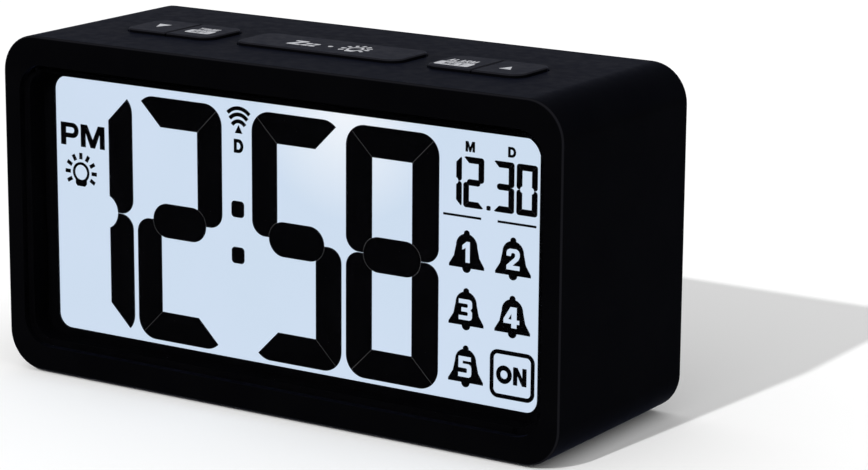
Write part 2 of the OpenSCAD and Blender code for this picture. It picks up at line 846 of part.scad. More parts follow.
module key_board() {
  color("#2d5a35") difference() {
    translate([0, key_row_y, key_board_low_z + key_board_t / 2])
      cube([key_board_w, key_board_d, key_board_t], center = true);
    for (x = key_boss_xs) translate([x, key_row_y, key_board_low_z - cut])
      cylinder(r = small_screw_r + screw_gap, h = key_board_t + 2 * cut);
  }
}

module key_board_screws() {
  color("silver") for (x = key_boss_xs) translate([x, key_row_y, key_board_low_z - small_head_h]) {
    cylinder(r = small_head_r, h = small_head_h);
    cylinder(r = small_screw_r, h = small_head_h + key_board_t + key_pilot - pilot_spare);
  }
}

module key_ribbon() {
  low_z = key_board_low_z - ribbon_drop;
  color("#d8d4c8") union() {
    block([-ribbon_w / 2, ribbon_y - ribbon_t, key_board_low_z - ribbon_t],
          [ribbon_w / 2, key_row_y - key_board_d / 2 + ribbon_lap, key_board_low_z]);
    block([-ribbon_w / 2, ribbon_y - ribbon_t, low_z], [ribbon_w / 2, ribbon_y, key_board_low_z]);
  }
}

module ribbon_socket() {
  low_z = key_board_low_z - ribbon_drop;
  color("#e8e4d8")
    block([-socket_w / 2, board_back_y, low_z - socket_h / 2],
          [socket_w / 2, ribbon_y - ribbon_t, low_z + socket_h / 2]);
}

// Rear cover and battery compartment

module slot_shape(w, h) {
  square([w, h - w], center = true);
  for (side = [-1, 1]) translate([0, side * (h - w) / 2]) circle(w / 2);
}

module rear_cover() {
  sounder_places = [for (i = [0 : slot_count - 1]) (i - (slot_count - 1) / 2) * slot_pitch];
  color("#151618") difference() {
    union() {
      plate(cover_w, cover_h, cover_r, cover_in_y, back_y, 0, mid_z);
      block([well_left_x - well_wall, well_floor_y - well_wall, well_low_z - well_wall],
            [well_right_x + well_wall, back_y - wall / 2, well_top_z + well_wall]);
      bar_y(disc_r + ring_gap + ring_t, cover_in_y - ring_h, back_y - wall / 2, -sounder_x, sounder_z);
    }
    block([well_left_x, well_floor_y, well_low_z], [well_right_x, back_y + cut, well_top_z]);
    for (z = [upper_cell_z, lower_cell_z])
      block([well_left_x, well_floor_y - well_wall - cut, z - tab_w / 2 - tab_gap],
            [well_left_x + contact_t + tab_gap, well_floor_y + cut, z + tab_w / 2 + tab_gap]);
    bar_x(pivot_r + pivot_gap, well_left_x - pivot_l - door_gap, well_right_x + pivot_l + door_gap,
          axis_y, axis_z);
    bar_y(disc_r + ring_gap, cover_in_y - ring_h - cut, ring_seat_y, -sounder_x, sounder_z);
    bar_y(disc_r - ring_seat, cover_in_y - ring_h - cut, cover_in_y, -sounder_x, sounder_z);
    for (x = sounder_places) translate([x - sounder_x, 0, sounder_z])
      flat(cover_in_y - cut, back_y + cut) slot_shape(slot_w, slot_h);
    corners(cover_screw_x, cover_screw_z, mid_z) {
      bar_y(screw_r + screw_gap, cover_in_y - cut, back_y + cut, 0, 0);
      bar_y(screw_head_r + screw_gap, back_y - screw_head_h, back_y + cut, 0, 0);
    }
    translate([well_x, back_y - scoop_dip + scoop_r, well_top_z])
      cylinder(r = scoop_r, h = scoop_r, center = true);
  }
}

module battery_door() {
  color("#151618") difference() {
    union() {
      block([well_x - door_w / 2, door_in_y, axis_z], [well_x + door_w / 2, back_y, door_top_z]);
      bar_x(roll_r, well_x - door_w / 2, well_x + door_w / 2, axis_y, axis_z);
      bar_x(pivot_r, well_left_x - pivot_l, well_right_x + pivot_l, axis_y, axis_z);
    }
    for (side = [-1, 1])
      translate([well_x + side * (tongue_w + tongue_slot) / 2, door_in_y + door_t / 2, door_top_z])
        cube([tongue_slot, 2 * door_t, 2 * tongue_l], center = true);
    block([well_x - tongue_w / 2 - tongue_slot, back_y - tongue_dip, door_top_z - tongue_l / 2],
          [well_x + tongue_w / 2 + tongue_slot, back_y + cut, door_top_z + cut]);
  }
}

module cover_screws() {
  color("#3c3c40") corners(cover_screw_x, cover_screw_z, mid_z) {
    bar_y(screw_head_r, back_y - screw_head_h, back_y - screw_head_h / 4, 0, 0);
    bar_y(screw_r, cover_in_y - screw_l + pilot_spare, back_y - screw_head_h / 2, 0, 0);
  }
}

module cell(x, z, button_side) {
  button_x = button_side < 0 ? x - button_h : x + cell_l - cut;
  union() {
    bar_x(cell_r, x, x + cell_l, cell_y, z);
    bar_x(button_r, button_x, button_x + button_h + cut, cell_y, z);
  }
}

module cell_upper() {
  color("#4a7a5c") cell(upper_cell_x, upper_cell_z, -1);
}

module cell_lower() {
  color("#4a7a5c") cell(lower_cell_x, lower_cell_z, 1);
}

// Contact sheet at the left end with its tab through the compartment's floor
module end_contact(z) {
  block([well_left_x, well_floor_y, z - contact_h / 2],
        [well_left_x + contact_t, well_floor_y + contact_w, z + contact_h / 2]);
  block([well_left_x, lead_tab_y, z - tab_w / 2],
        [well_left_x + contact_t, well_floor_y + cut, z + tab_w / 2]);
}

module positive_contact() {
  color("#c8c8c0") union() end_contact(upper_cell_z);
}

module negative_contact() {
  color("#c8c8c0") union() end_contact(lower_cell_z);
}

module link_contact() {
  color("#c8c8c0")
    block([well_right_x - contact_t, well_floor_y, lower_cell_z - contact_h / 2],
          [well_right_x, well_floor_y + contact_w, upper_cell_z + contact_h / 2]);
}

// Points of a conical spring along X, from its wide end
function spring_points(base_x, direction, z) = [
  for (i = [0 : spring_turns * spring_rings])
    let (s = i / (spring_turns * spring_rings), a = 360 * i / spring_rings)
    let (r = spring_base_r + (spring_tip_r - spring_base_r) * s)
    let (start = spring_wire + spring_touch, run = spring_l - 2 * (spring_wire + spring_touch))
    [base_x + direction * (start + run * s), cell_y + r * cos(a), z + r * sin(a)]
];
negative_spring = spring_points(well_left_x + contact_t, 1, lower_cell_z);
link_spring = spring_points(well_right_x - contact_t, -1, upper_cell_z);

// Least gap between one turn and the next
function turn_gap(p) = min([
  for (i = [0 : len(p) - 1], k = [i + spring_rings / 2 : len(p) - 1]) if (k < len(p)) norm(p[i] - p[k])
]) - 2 * spring_wire;
echo(spring_gap = turn_gap(negative_spring));

module contact_springs() {
  color("silver") {
    tube(negative_spring, spring_wire, spring_sides);
    tube(link_spring, spring_wire, spring_sides);
  }
}

module positive_lead() {
  color("#b02a24") tube(positive_route, lead_r, lead_sides);
}

module negative_lead() {
  color("#1a1a1a") tube(negative_route, lead_r, lead_sides);
}

module sounder_disc() {
  color("#c9a24a") bar_y(disc_r, ring_seat_y - disc_t, ring_seat_y, -sounder_x, sounder_z);
}

module sounder_ceramic() {
  color("#e4e0d4")
    bar_y(ceramic_r, ring_seat_y - disc_t - ceramic_t, ring_seat_y - disc_t, -sounder_x, sounder_z);
}

front_case();
display_lens();
lcd_frame();
lcd_glass();
lcd_segments();
light_guide();
reflector_sheet();
backlight_leds();
contact_strip();
main_board();
display_screws();
controller_blob();
crystal();
receiver_header();
receiver_board();
receiver_chip();
ferrite_rod();
antenna_coil();
antenna_clips();
key(0);  // key_down
key(1);  // key_set
key(2);  // key_snooze
key(3);  // key_mode
key(4);  // key_up
plunger(0);  // plunger_down
plunger(1);  // plunger_set
plunger(2);  // plunger_snooze
plunger(3);  // plunger_mode
plunger(4);  // plunger_up
switch_housings();
key_board();
key_board_screws();
key_ribbon();
ribbon_socket();
rear_cover();
battery_door();
cover_screws();
cell_upper();
cell_lower();
positive_contact();
negative_contact();
link_contact();
contact_springs();
positive_lead();
negative_lead();
sounder_disc();
sounder_ceramic();
rubber_feet();
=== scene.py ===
"""Looks of a radio-controlled table alarm clock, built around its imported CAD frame.

Sizes in the fields are millimetres, and Blender's own unit is the metre.
+Z is up, the display faces -Y, and +X is to the right seen from the front.
"""

import json
import logging
import math
from dataclasses import dataclass, replace
from enum import Enum
from functools import cache
from typing import Any, Callable, Sequence

import bmesh
import bpy
from mathutils import Matrix, Vector


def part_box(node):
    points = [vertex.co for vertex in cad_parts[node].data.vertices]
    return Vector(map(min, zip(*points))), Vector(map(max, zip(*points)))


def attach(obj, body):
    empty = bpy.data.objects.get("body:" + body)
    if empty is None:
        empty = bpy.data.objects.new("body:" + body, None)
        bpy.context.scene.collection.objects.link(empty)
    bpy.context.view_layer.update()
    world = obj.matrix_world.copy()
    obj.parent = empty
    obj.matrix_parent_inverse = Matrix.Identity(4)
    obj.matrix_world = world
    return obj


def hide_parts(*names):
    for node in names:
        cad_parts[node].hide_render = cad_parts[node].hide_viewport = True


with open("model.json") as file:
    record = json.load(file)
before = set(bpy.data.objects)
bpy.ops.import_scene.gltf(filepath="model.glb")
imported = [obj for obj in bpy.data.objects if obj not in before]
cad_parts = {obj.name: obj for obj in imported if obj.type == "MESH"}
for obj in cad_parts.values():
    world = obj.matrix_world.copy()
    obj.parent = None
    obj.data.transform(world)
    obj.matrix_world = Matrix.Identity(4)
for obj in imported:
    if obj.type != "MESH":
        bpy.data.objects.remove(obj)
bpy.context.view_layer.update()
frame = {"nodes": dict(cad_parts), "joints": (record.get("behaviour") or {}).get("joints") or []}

MM = 0.001
# Decimals of a millimetre that a box from the frame is rounded to
BOX_DECIMALS = 3
# Turns in degrees
FULL_TURN = 360
QUARTER_TURN = 90
WHITE = "#ffffff"
BLACK = "#000000"
# The sRGB curve of a byte: straight up to its knee, and a shifted power above it
FULL_BYTE = 255
SRGB_KNEE = 0.04045
SRGB_SLOPE = 12.92
SRGB_SHIFT = 0.055
SRGB_POWER = 2.4
SMOOTH_ANGLE = math.radians(35)
MERGE_GAP = 0.001
# How near two places are that count as one, in mm, and the axis share of a way along or across it
NEAR = 0.01
ALONG = 0.99
ACROSS = 0.1
# How far a cutting tool runs past a face, and a welded solid into its neighbour, in mm
OVER = 1.0
LAP = 0.5
# Faces along a large corner and a small rounding, and around a large, a small and a tiny cylinder
CORNER_STEPS = 12
FINE_STEPS = 3
ROUND_SIDES = 64
SMALL_SIDES = 32
TINY_SIDES = 16
# Steps along an arc and along the round corner of a box, and points around a circle, in a printed outline
ARC_STEPS = 16
BOX_STEPS = 6
CIRCLE_POINTS = 30
# Share of a line at half a right angle that goes along each axis
SLANT = math.sqrt(0.5)
BLOOM_ROUGHNESS = 0.3
# Share of the rim axis in a normal where the paler rim starts, is full from and to, and ends; the paler rim
# is rubbed wear and a painted highlight
RIM_LEANS = (0.15, 0.45, 0.85, 0.98)
# Detail of the noise in clouds, patches and grain, and the noise values that clouds and patches span
CLOUD_DETAIL = 4.0
PATCH_DETAIL = 3.0
GRAIN_DETAIL = 2.0
CLOUD_SPAN = (0.35, 0.65)
PATCH_SPAN = (0.3, 0.7)
# A wave texture of scale 1 has 20 bands in 1 m
WAVE_BANDS = 20
# Sockets of a Mix node that mixes colours
MIX_SHARE, MIX_FIRST, MIX_SECOND, MIX_RESULT = 0, 6, 7, 2

Point = tuple[float, float, float]
Flat = tuple[float, float]
Contour = list[Flat]
Test = Callable[[Vector, Vector], bool]
Socket = bpy.types.NodeSocket
Tree = bpy.types.NodeTree
Node = bpy.types.Node
Piece = bpy.types.Object

log = logging.getLogger("clock")


class Axis(Enum):
    """The three directions of the frame."""

    X = 0
    Y = 1
    Z = 2


class Element(Enum):
    """What is selected in edit mode, as flags for vertices, edges and faces."""

    EDGES = (False, True, False)
    FACES = (False, False, True)


class Sign(Enum):
    """What is printed on a key."""

    DOWN = -1
    UP = 1
    TIME = "TIME"
    ALARM = "ALARM"
    DOZE = "Zzz"


class Join(Enum):
    """How one solid acts on another."""

    CUT = "DIFFERENCE"
    WELD = "UNION"


@dataclass(frozen=True)
class Extent:
    """The box that a CAD node fills at rest."""

    left: float
    right: float
    front: float
    back: float
    base: float
    top: float

    @classmethod
    @cache
    def of(cls, node: str) -> "Extent":
        """Reads a node's box from the frame, to the nearest micrometre."""
        return cls(*(round(value / MM, BOX_DECIMALS) for pair in zip(*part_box(node)) for value in pair))

    @property
    def middle(self) -> Vector:
        """The middle of the box."""
        return Vector((self.left + self.right, self.front + self.back, self.base + self.top)) / 2

    def corners(self, axis: Axis, inset: Flat) -> list[Flat]:
        """Gives four places seen along an axis, each as far in from the two sides that meet there.

        Args:
            axis: the direction.
            inset: how far in along each of the two other axes, in mm.

        Returns:
            The coordinates along the two other axes, in mm.
        """
        spans = [(self.left, self.right), (self.front, self.back), (self.base, self.top)]
        del spans[axis.value]
        first, second = ((low + step, high - step) for (low, high), step in zip(spans, inset))
        return [(u, v) for u in first for v in second]


def hinge_axis() -> Flat:
    """Gives the depth and height of the battery door's hinge.

    Returns:
        The two coordinates in mm.
    """
    joint = next(j for j in frame["joints"] if j["name"] == "door_hinge")
    _, depth, height = joint["pos_m"]
    return (depth / MM, height / MM)


# Materials


def linear(colour: str) -> tuple[float, float, float, float]:
    """Turns an sRGB hex colour into linear light.

    Args:
        colour: the colour as "#rrggbb".

    Returns:
        Red, green, blue and an alpha of 1.
    """
    parts = [part / FULL_BYTE for part in bytes.fromhex(colour[1:])]
    red, green, blue = (part / SRGB_SLOPE if part <= SRGB_KNEE else
                        ((part + SRGB_SHIFT) / (1 + SRGB_SHIFT)) ** SRGB_POWER for part in parts)
    return (red, green, blue, 1.0)


def add_node(tree: Tree, kind: str, inputs: dict[Any, Any], **settings: Any) -> Node:
    """Adds a shader node with its settings, its values and its links.

    Args:
        tree: the material's node tree.
        kind: the node's type name.
        inputs: input socket to a value, or to the output socket that feeds it.
        settings: the node's own properties.

    Returns:
        The new node.
    """
    node = tree.nodes.new(kind)
    for name, value in settings.items():
        setattr(node, name, value)
    for name, value in inputs.items():
        if isinstance(value, Socket):
            tree.links.new(value, node.inputs[name])
        else:
            node.inputs[name].default_value = value
    return node


def per_metre(size: float) -> float:
    """Gives the texture scale at which one feature is this many millimetres wide."""
    return 1 / (size * MM)


@dataclass(frozen=True)
class Finish:
    """A moulded or coated surface with cloudy tone, uneven gloss and a fine grain.

    The tone wanders from colour to shade in clouds of cloud mm, the roughness wanders by uneven
    in patches of patch mm, and the grain stands up by relief mm in cells of grain mm.
    Bloom is the faint haze of a soft lacquer that is seen at a low angle. Rounded rims whose
    normals lean away from the rim axis are painted paler: rubbed wear and a painted highlight.
    """

    name: str
    colour: str
    shade: str
    roughness: float = 0.5
    uneven: float = 0.05
    metallic: float = 0.0
    ior: float = 1.5
    bloom: float = 0.0
    bloom_tint: str = WHITE
    cloud: float = 9.0
    patch: float = 3.0
    grain: float = 0.4
    relief: float = 0.004
    rim: Axis | None = None
    rim_wear_and_highlight: str = BLACK

    def material(self) -> bpy.types.Material:
        """Makes the material, or gives the one that was made before.

        Returns:
            The material.
        """
        made = bpy.data.materials.get(self.name)
        if made:
            return made
        made = bpy.data.materials.new(self.name)
        made.use_nodes = True
        tree = made.node_tree
        tree.nodes.clear()
        place = add_node(tree, "ShaderNodeTexCoord", {}).outputs["Object"]
        shader = self.shader(tree, place)
        add_node(tree, "ShaderNodeOutputMaterial", {"Surface": shader.outputs[0]})
        return made

    def dress(self, piece: Piece) -> None:
        """Makes this a piece's only finish."""
        piece.data.materials.clear()
        piece.data.materials.append(self.material())

    def shader(self, tree: Tree, place: Socket) -> Node:
        """Builds the surface shader.

        Args:
            tree: the material's node tree.
            place: the Object coordinates.

        Returns:
            The shader node.
        """
        return add_node(tree, "ShaderNodeBsdfPrincipled", {
            "Base Color": self.tone(tree, place),
            "Roughness": self.gloss(tree, place),
            "Normal": self.grained(tree, place),
            "Metallic": self.metallic,
            "IOR": self.ior,
            "Sheen Weight": self.bloom,
            "Sheen Roughness": BLOOM_ROUGHNESS,
            "Sheen Tint": linear(self.bloom_tint),
        })

    def shaded(self, tree: Tree, share: Socket, start: float = 0.0, end: float = 1.0) -> Socket:
        """Goes from the shade to the colour between two values of a share.

        Args:
            tree: the material's node tree.
            share: a value from 0 to 1.
            start: the share at which the shade ends.
            end: the share at which the full colour starts.

        Returns:
            The colour.
        """
        ramp = add_node(tree, "ShaderNodeValToRGB", {"Fac": share})
        for stop, place, colour in zip(ramp.color_ramp.elements, (start, end), (self.shade, self.colour)):
            stop.position = place
            stop.color = linear(colour)
        return ramp.outputs["Color"]

    def tone(self, tree: Tree, place: Socket) -> Socket:
        """Mixes the two colours in soft clouds, and pales the rims where the finish has them, as rubbed wear
        and a painted highlight.

        Args:
            tree: the material's node tree.
            place: the Object coordinates.

        Returns:
            The colour.
        """
        clouds = add_node(tree, "ShaderNodeTexNoise", {
            "Vector": place, "Scale": per_metre(self.cloud), "Detail": CLOUD_DETAIL,
        })
        colour = self.shaded(tree, clouds.outputs["Fac"], *CLOUD_SPAN)
        return self.rubbed_and_highlit(tree, colour) if self.rim else colour

    def rubbed_and_highlit(self, tree: Tree, colour: Socket) -> Socket:
        """Pales the rims: rubbed wear from handling, and a painted highlight along the rounded edges.

        Args:
            tree: the material's node tree.
            colour: the colour elsewhere.

        Returns:
            The colour with the rims.
        """
        normal = add_node(tree, "ShaderNodeTexCoord", {}).outputs["Normal"]
        parts = add_node(tree, "ShaderNodeSeparateXYZ", {"Vector": normal})
        lean = add_node(tree, "ShaderNodeMath", {0: parts.outputs[self.rim.name]}, operation="ABSOLUTE")
        share = add_node(tree, "ShaderNodeValToRGB", {"Fac": lean.outputs[0]})
        stops = share.color_ramp.elements
        stops[0].position, stops[1].position = RIM_LEANS[0], RIM_LEANS[-1]
        stops[1].color = stops[0].color
        for place in RIM_LEANS[1:-1]:
            stops.new(place).color = linear(WHITE)
        # The rim colour is rubbed wear and a painted highlight on the rounded edges
        inputs = {MIX_SHARE: share.outputs["Color"], MIX_FIRST: colour, MIX_SECOND: linear(self.rim_wear_and_highlight)}
        return add_node(tree, "ShaderNodeMix", inputs, data_type="RGBA").outputs[MIX_RESULT]

    def gloss(self, tree: Tree, place: Socket) -> Socket:
        """Gives a roughness that differs a little from place to place.

        Args:
            tree: the material's node tree.
            place: the Object coordinates.

        Returns:
            The roughness.
        """
        patches = add_node(tree, "ShaderNodeTexNoise", {
            "Vector": place, "Scale": per_metre(self.patch), "Detail": PATCH_DETAIL,
        })
        return add_node(tree, "ShaderNodeMapRange", {
            "Value": patches.outputs["Fac"],
            "From Min": PATCH_SPAN[0],
            "From Max": PATCH_SPAN[1],
            "To Min": self.roughness - self.uneven,
            "To Max": self.roughness + self.uneven,
        }).outputs["Result"]

    def grained(self, tree: Tree, place: Socket) -> Socket:
        """Raises the fine grain of the surface.

        Args:
            tree: the material's node tree.
            place: the Object coordinates.

        Returns:
            The normal.
        """
        grain = add_node(tree, "ShaderNodeTexNoise", {
            "Vector": place, "Scale": per_metre(self.grain), "Detail": GRAIN_DETAIL,
        })
        inputs = {"Height": grain.outputs["Fac"], "Distance": self.relief * MM}
        return add_node(tree, "ShaderNodeBump", inputs).outputs["Normal"]


@dataclass(frozen=True)
class ClearFinish(Finish):
    """A clear moulding. Bending is the share of it that bends light, and the rest lets light pass."""

    bending: float = 1.0

    def shader(self, tree: Tree, place: Socket) -> Node:
        """Builds the clear shader, with a trace of polishing haze.

        Args:
            tree: the material's node tree.
            place: the Object coordinates.

        Returns:
            The shader node.
        """
        return add_node(tree, "ShaderNodeBsdfPrincipled", {
            "Base Color": self.tone(tree, place),
            "Roughness": self.gloss(tree, place),
            "IOR": self.ior,
            "Transmission Weight": 1.0,
            "Alpha": self.bending,
        })


@dataclass(frozen=True)
class BacklitFinish(Finish):
    """Frosted cell glass with an even light behind it, and one softly brighter spot."""

    glow: float = 1.0
    bright: str = WHITE
    spot: Point = (0.0, 0.0, 0.0)
    spot_size: float = 30.0

    def shader(self, tree: Tree, place: Socket) -> Node:
        """Builds the glowing shader.

        Args:
            tree: the material's node tree.
            place: the Object coordinates.

        Returns:
            The shader node.
        """
        to_spot = add_node(tree, "ShaderNodeMapping", {
            "Vector": place, "Location": -Vector(self.spot) / self.spot_size,
            "Scale": (per_metre(self.spot_size),) * 3,
        })
        ball = add_node(tree, "ShaderNodeTexGradient", {"Vector": to_spot.outputs["Vector"]},
                        gradient_type="SPHERICAL")
        glow = add_node(tree, "ShaderNodeMix", {
            MIX_SHARE: ball.outputs["Fac"],
            MIX_FIRST: self.tone(tree, place),
            MIX_SECOND: linear(self.bright),
        }, data_type="RGBA")
        return add_node(tree, "ShaderNodeBsdfPrincipled", {
            "Base Color": linear(BLACK),
            "Roughness": self.gloss(tree, place),
            "IOR": self.ior,
            "Emission Color": glow.outputs[MIX_RESULT],
            "Emission Strength": self.glow,
        })


@dataclass(frozen=True)
class BandedFinish(Finish):
    """A surface with stripes of pitch mm across one direction, such as turns of wire or board tracks."""

    across: Axis = Axis.X
    pitch: float = 0.4
    ridge: float = 0.05

    def bands(self, tree: Tree, place: Socket) -> Socket:
        """Gives a wave from 0 to 1, one for each stripe."""
        inputs = {"Vector": place, "Scale": per_metre(self.pitch) / WAVE_BANDS}
        return add_node(tree, "ShaderNodeTexWave", inputs, bands_direction=self.across.name).outputs["Fac"]

    def tone(self, tree: Tree, place: Socket) -> Socket:
        """Gives the valleys between the stripes the shade colour: painted shade between turns of wire, and
        their own colours for board tracks and rubber layers.
        """
        return self.shaded(tree, self.bands(tree, place))

    def grained(self, tree: Tree, place: Socket) -> Socket:
        """Raises the stripes."""
        inputs = {"Height": self.bands(tree, place), "Distance": self.ridge * MM}
        return add_node(tree, "ShaderNodeBump", inputs).outputs["Normal"]


@dataclass(frozen=True)
class SleeveFinish(Finish):
    """A printed shrink sleeve along X, with a band of another colour from band_from to band_to mm."""

    band: str = "#b87a3a"
    band_from: float = 0.0
    band_to: float = 10.0

    def tone(self, tree: Tree, place: Socket) -> Socket:
        """Puts the band on the sleeve's own colour.

        Args:
            tree: the material's node tree.
            place: the Object coordinates.

        Returns:
            The colour.
        """
        x = add_node(tree, "ShaderNodeSeparateXYZ", {"Vector": place}).outputs["X"]
        after = add_node(tree, "ShaderNodeMath", {0: x, 1: self.band_from * MM}, operation="GREATER_THAN")
        before = add_node(tree, "ShaderNodeMath", {0: x, 1: self.band_to * MM}, operation="LESS_THAN")
        inside = add_node(tree, "ShaderNodeMath", {0: after.outputs[0], 1: before.outputs[0]},
                          operation="MULTIPLY")
        sleeve = super().tone(tree, place)
        inputs = {MIX_SHARE: inside.outputs[0], MIX_FIRST: sleeve, MIX_SECOND: linear(self.band)}
        return add_node(tree, "ShaderNodeMix", inputs, data_type="RGBA").outputs[MIX_RESULT]


# Spark-eroded ABS under a soft-touch lacquer: deep black seen straight on, blue-grey bloom when grazed
# Its rounded rims are painted paler: rubbed wear and a painted highlight
CASE_PLASTIC = Finish("soft_touch_black_abs", "#040405", "#030304", roughness=0.38, ior=1.018, bloom=0.035,
                      bloom_tint="#9db2ff", cloud=14.0, patch=2.2, grain=0.55, rim=Axis.Y,
                      rim_wear_and_highlight="#141417")
# The rear mouldings have no lacquer: a dull grey-black with the coarse grain of the spark-eroded tool
REAR_PLASTIC = Finish("spark_eroded_black_abs", "#101012", "#0c0c0e", roughness=0.52, ior=1.26, cloud=12.0,
                      patch=2.0, grain=0.5, relief=0.012)
# The keys' lacquer is a little worn in, so it blooms more than the case
# Their top rims are painted paler: rubbed wear and a painted highlight
KEY_PLASTIC = Finish("soft_touch_key_abs", "#060608", "#050507", roughness=0.34, ior=1.022, bloom=0.06,
                     bloom_tint="#b9c6ff", cloud=11.0, patch=1.8, grain=0.5, rim=Axis.Z,
                     rim_wear_and_highlight="#1d1d21")
# Cast acrylic with a coating that kills reflections, so the dark segments stay dark
COATED_ACRYLIC = ClearFinish("coated_clear_acrylic", WHITE, "#fcfdff", roughness=0.006, uneven=0.004,
                             ior=1.03, bending=0.02)
# The same acrylic without a coating
PLAIN_ACRYLIC = ClearFinish("plain_clear_acrylic", WHITE, "#fcfdff", roughness=0.02, uneven=0.01, ior=1.49)
# Dead black polystyrene around the display
MASK_PLASTIC = Finish("dead_black_polystyrene", "#040405", "#030304", roughness=0.85, ior=1.01, grain=0.3)
# Liquid crystal cell lit from behind: pale blue, almost even
DISPLAY_GLASS = BacklitFinish("backlit_cell_glass", "#cfdef1", "#cdddef", roughness=0.4, ior=1.06, cloud=24.0,
                              glow=1.0, bright="#f0f5fb", spot=(14.0, -17.7, 63.0), spot_size=22.0)
# Switched-on liquid crystal film: opaque, no gloss of its own
SEGMENT_BLACK = Finish("dark_liquid_crystal", "#040405", "#030304", roughness=0.8, ior=1.01, grain=0.2,
                       relief=0.001)
# The hairlines between segments are half dark, because their fields reach a little past their edges
SEGMENT_FRINGE = Finish("half_dark_liquid_crystal", "#4e4e50", "#444446", roughness=0.8, ior=1.01, grain=0.2,
                        relief=0.001)
# Pale ink from a soft pad, a little thin in places
KEY_INK = Finish("pale_pad_print_ink", "#b4b5ba", "#9fa0a6", roughness=0.6, cloud=1.2, grain=0.25,
                 relief=0.003)
# Matt white film that throws stray light back to the display
REFLECTOR_WHITE = Finish("white_reflector_film", "#f2f3f4", "#e8e9ea", roughness=0.6)
# Milky resin over the small lamps, warm when unlit
LAMP_RESIN = Finish("frosted_lamp_resin", "#f2ecd2", "#e4ddbe", roughness=0.35)
# Soft rubber in dark and conducting layers
STRIP_RUBBER = BandedFinish("layered_contact_rubber", "#3c3d40", "#c9a9a0", roughness=0.75, pitch=0.5,
                            ridge=0.01)
# Glass-filled laminate under green lacquer, with its tracks just showing
BOARD_LAMINATE = BandedFinish("green_board_laminate", "#2c5c38", "#24492d", roughness=0.38, pitch=1.27,
                              ridge=0.03)
# Resin that was dropped on the chip and set with a soft shine
BLACK_RESIN = Finish("black_chip_resin", "#17171a", "#0f0f11", roughness=0.35, relief=0.01)
# Rolled and plated strip and wire, bright with soft streaks
BRIGHT_STEEL = Finish("nickel_plated_steel", "#d2d1cb", "#bdbcb6", roughness=0.24, metallic=1.0, patch=1.5)
# Blackened screws, dark grey where the light catches them
DARK_STEEL = Finish("black_oxide_steel", "#3d3d42", "#2b2b2f", roughness=0.36, metallic=1.0, patch=0.8,
                    grain=0.2)
# Pressed and fired powder: dull, with a sandy grain
FERRITE = Finish("fired_ferrite", "#3a3a3d", "#29292b", roughness=0.7, cloud=1.5, grain=0.35, relief=0.03)
# Turns of thin enamelled wire, drawn coarser than they are so that they show, with painted shade in the
# valleys between turns
COPPER_WINDING = BandedFinish("enamelled_copper_turns", "#a95a2f", "#5a2a14", roughness=0.3, pitch=0.45,
                              ridge=0.1)
# Uncoloured nylon, a warm white
WHITE_PLASTIC = Finish("natural_nylon", "#e6e4da", "#d8d5c9", roughness=0.45)
# Slippery moulded acetal, the colour of butter
PLUNGER_PLASTIC = Finish("acetal_plunger", "#d9c89b", "#cbb988", roughness=0.35)
# Extruded wire sheath with a soft shine
RED_WIRE = Finish("red_wire_sheath", "#b3261f", "#9c1e18", roughness=0.4)
BLACK_WIRE = Finish("black_wire_sheath", "#1b1b1d", "#131315", roughness=0.4)
# Rolled brass disc with a silvered ceramic on it
SOUNDER_BRASS = Finish("rolled_brass", "#c8a24c", "#b38d3b", roughness=0.3, metallic=1.0, cloud=3.0)
SOUNDER_WHITE = Finish("silvered_ceramic", "#dedbd2", "#cfcbc0", roughness=0.5, cloud=2.0)
# Natural rubber pad, dull and a little dusty
FOOT_RUBBER = Finish("dull_foot_rubber", "#232326", "#1a1a1c", roughness=0.85, cloud=2.5, grain=0.3,
                     relief=0.02)
# Shrunk plastic sleeve, slate grey with a tan band that lies elsewhere on each cell
CELL_SLEEVE = SleeveFinish("printed_cell_sleeve", "#26343c", "#202c33", roughness=0.32, grain=1.5,
                           relief=0.003, band="#b98243")
# Plain paper under the clock, without any shine
STUDIO_PAPER = Finish("matt_studio_paper", "#f2f2f2", "#f2f2f2", roughness=1.0, uneven=0.0, ior=1.0,
                      relief=0.0)

KEY_NAMES = ("down", "set", "snooze", "mode", "up")
NODE_FINISHES: tuple[tuple[Finish, Sequence[str]], ...] = (
    (CASE_PLASTIC, ("front_case",)),
    (REAR_PLASTIC, ("rear_cover", "battery_door")),
    (KEY_PLASTIC, [f"key_{name}" for name in KEY_NAMES]),
    (COATED_ACRYLIC, ("display_lens",)),
    (PLAIN_ACRYLIC, ("light_guide",)),
    (MASK_PLASTIC, ("lcd_frame",)),
    (DISPLAY_GLASS, ("lcd_glass",)),
    (SEGMENT_BLACK, ("lcd_segments",)),
    (REFLECTOR_WHITE, ("reflector_sheet",)),
    (LAMP_RESIN, ("backlight_leds",)),
    (STRIP_RUBBER, ("contact_strip",)),
    (BOARD_LAMINATE, ("main_board", "receiver_board", "key_board")),
    (BLACK_RESIN, ("controller_blob", "receiver_header", "receiver_chip", "switch_housings")),
    (BRIGHT_STEEL, ("display_screws", "crystal", "key_board_screws", "positive_contact", "negative_contact",
                    "link_contact", "contact_springs")),
    (DARK_STEEL, ("cover_screws",)),
    (FERRITE, ("ferrite_rod",)),
    (COPPER_WINDING, ("antenna_coil",)),
    (WHITE_PLASTIC, ("antenna_clips", "key_ribbon", "ribbon_socket")),
    (PLUNGER_PLASTIC, [f"plunger_{name}" for name in KEY_NAMES]),
    (RED_WIRE, ("positive_lead",)),
    (BLACK_WIRE, ("negative_lead",)),
    (SOUNDER_BRASS, ("sounder_disc",)),
    (SOUNDER_WHITE, ("sounder_ceramic",)),
    (FOOT_RUBBER, ("rubber_feet",)),
)


# Modelling


def only(piece: Piece) -> None:
    """Makes one object the only selected one and the active one.

    Args:
        piece: the object.
    """
    bpy.ops.object.select_all(action="DESELECT")
    piece.select_set(True)
    bpy.context.view_layer.objects.active = piece


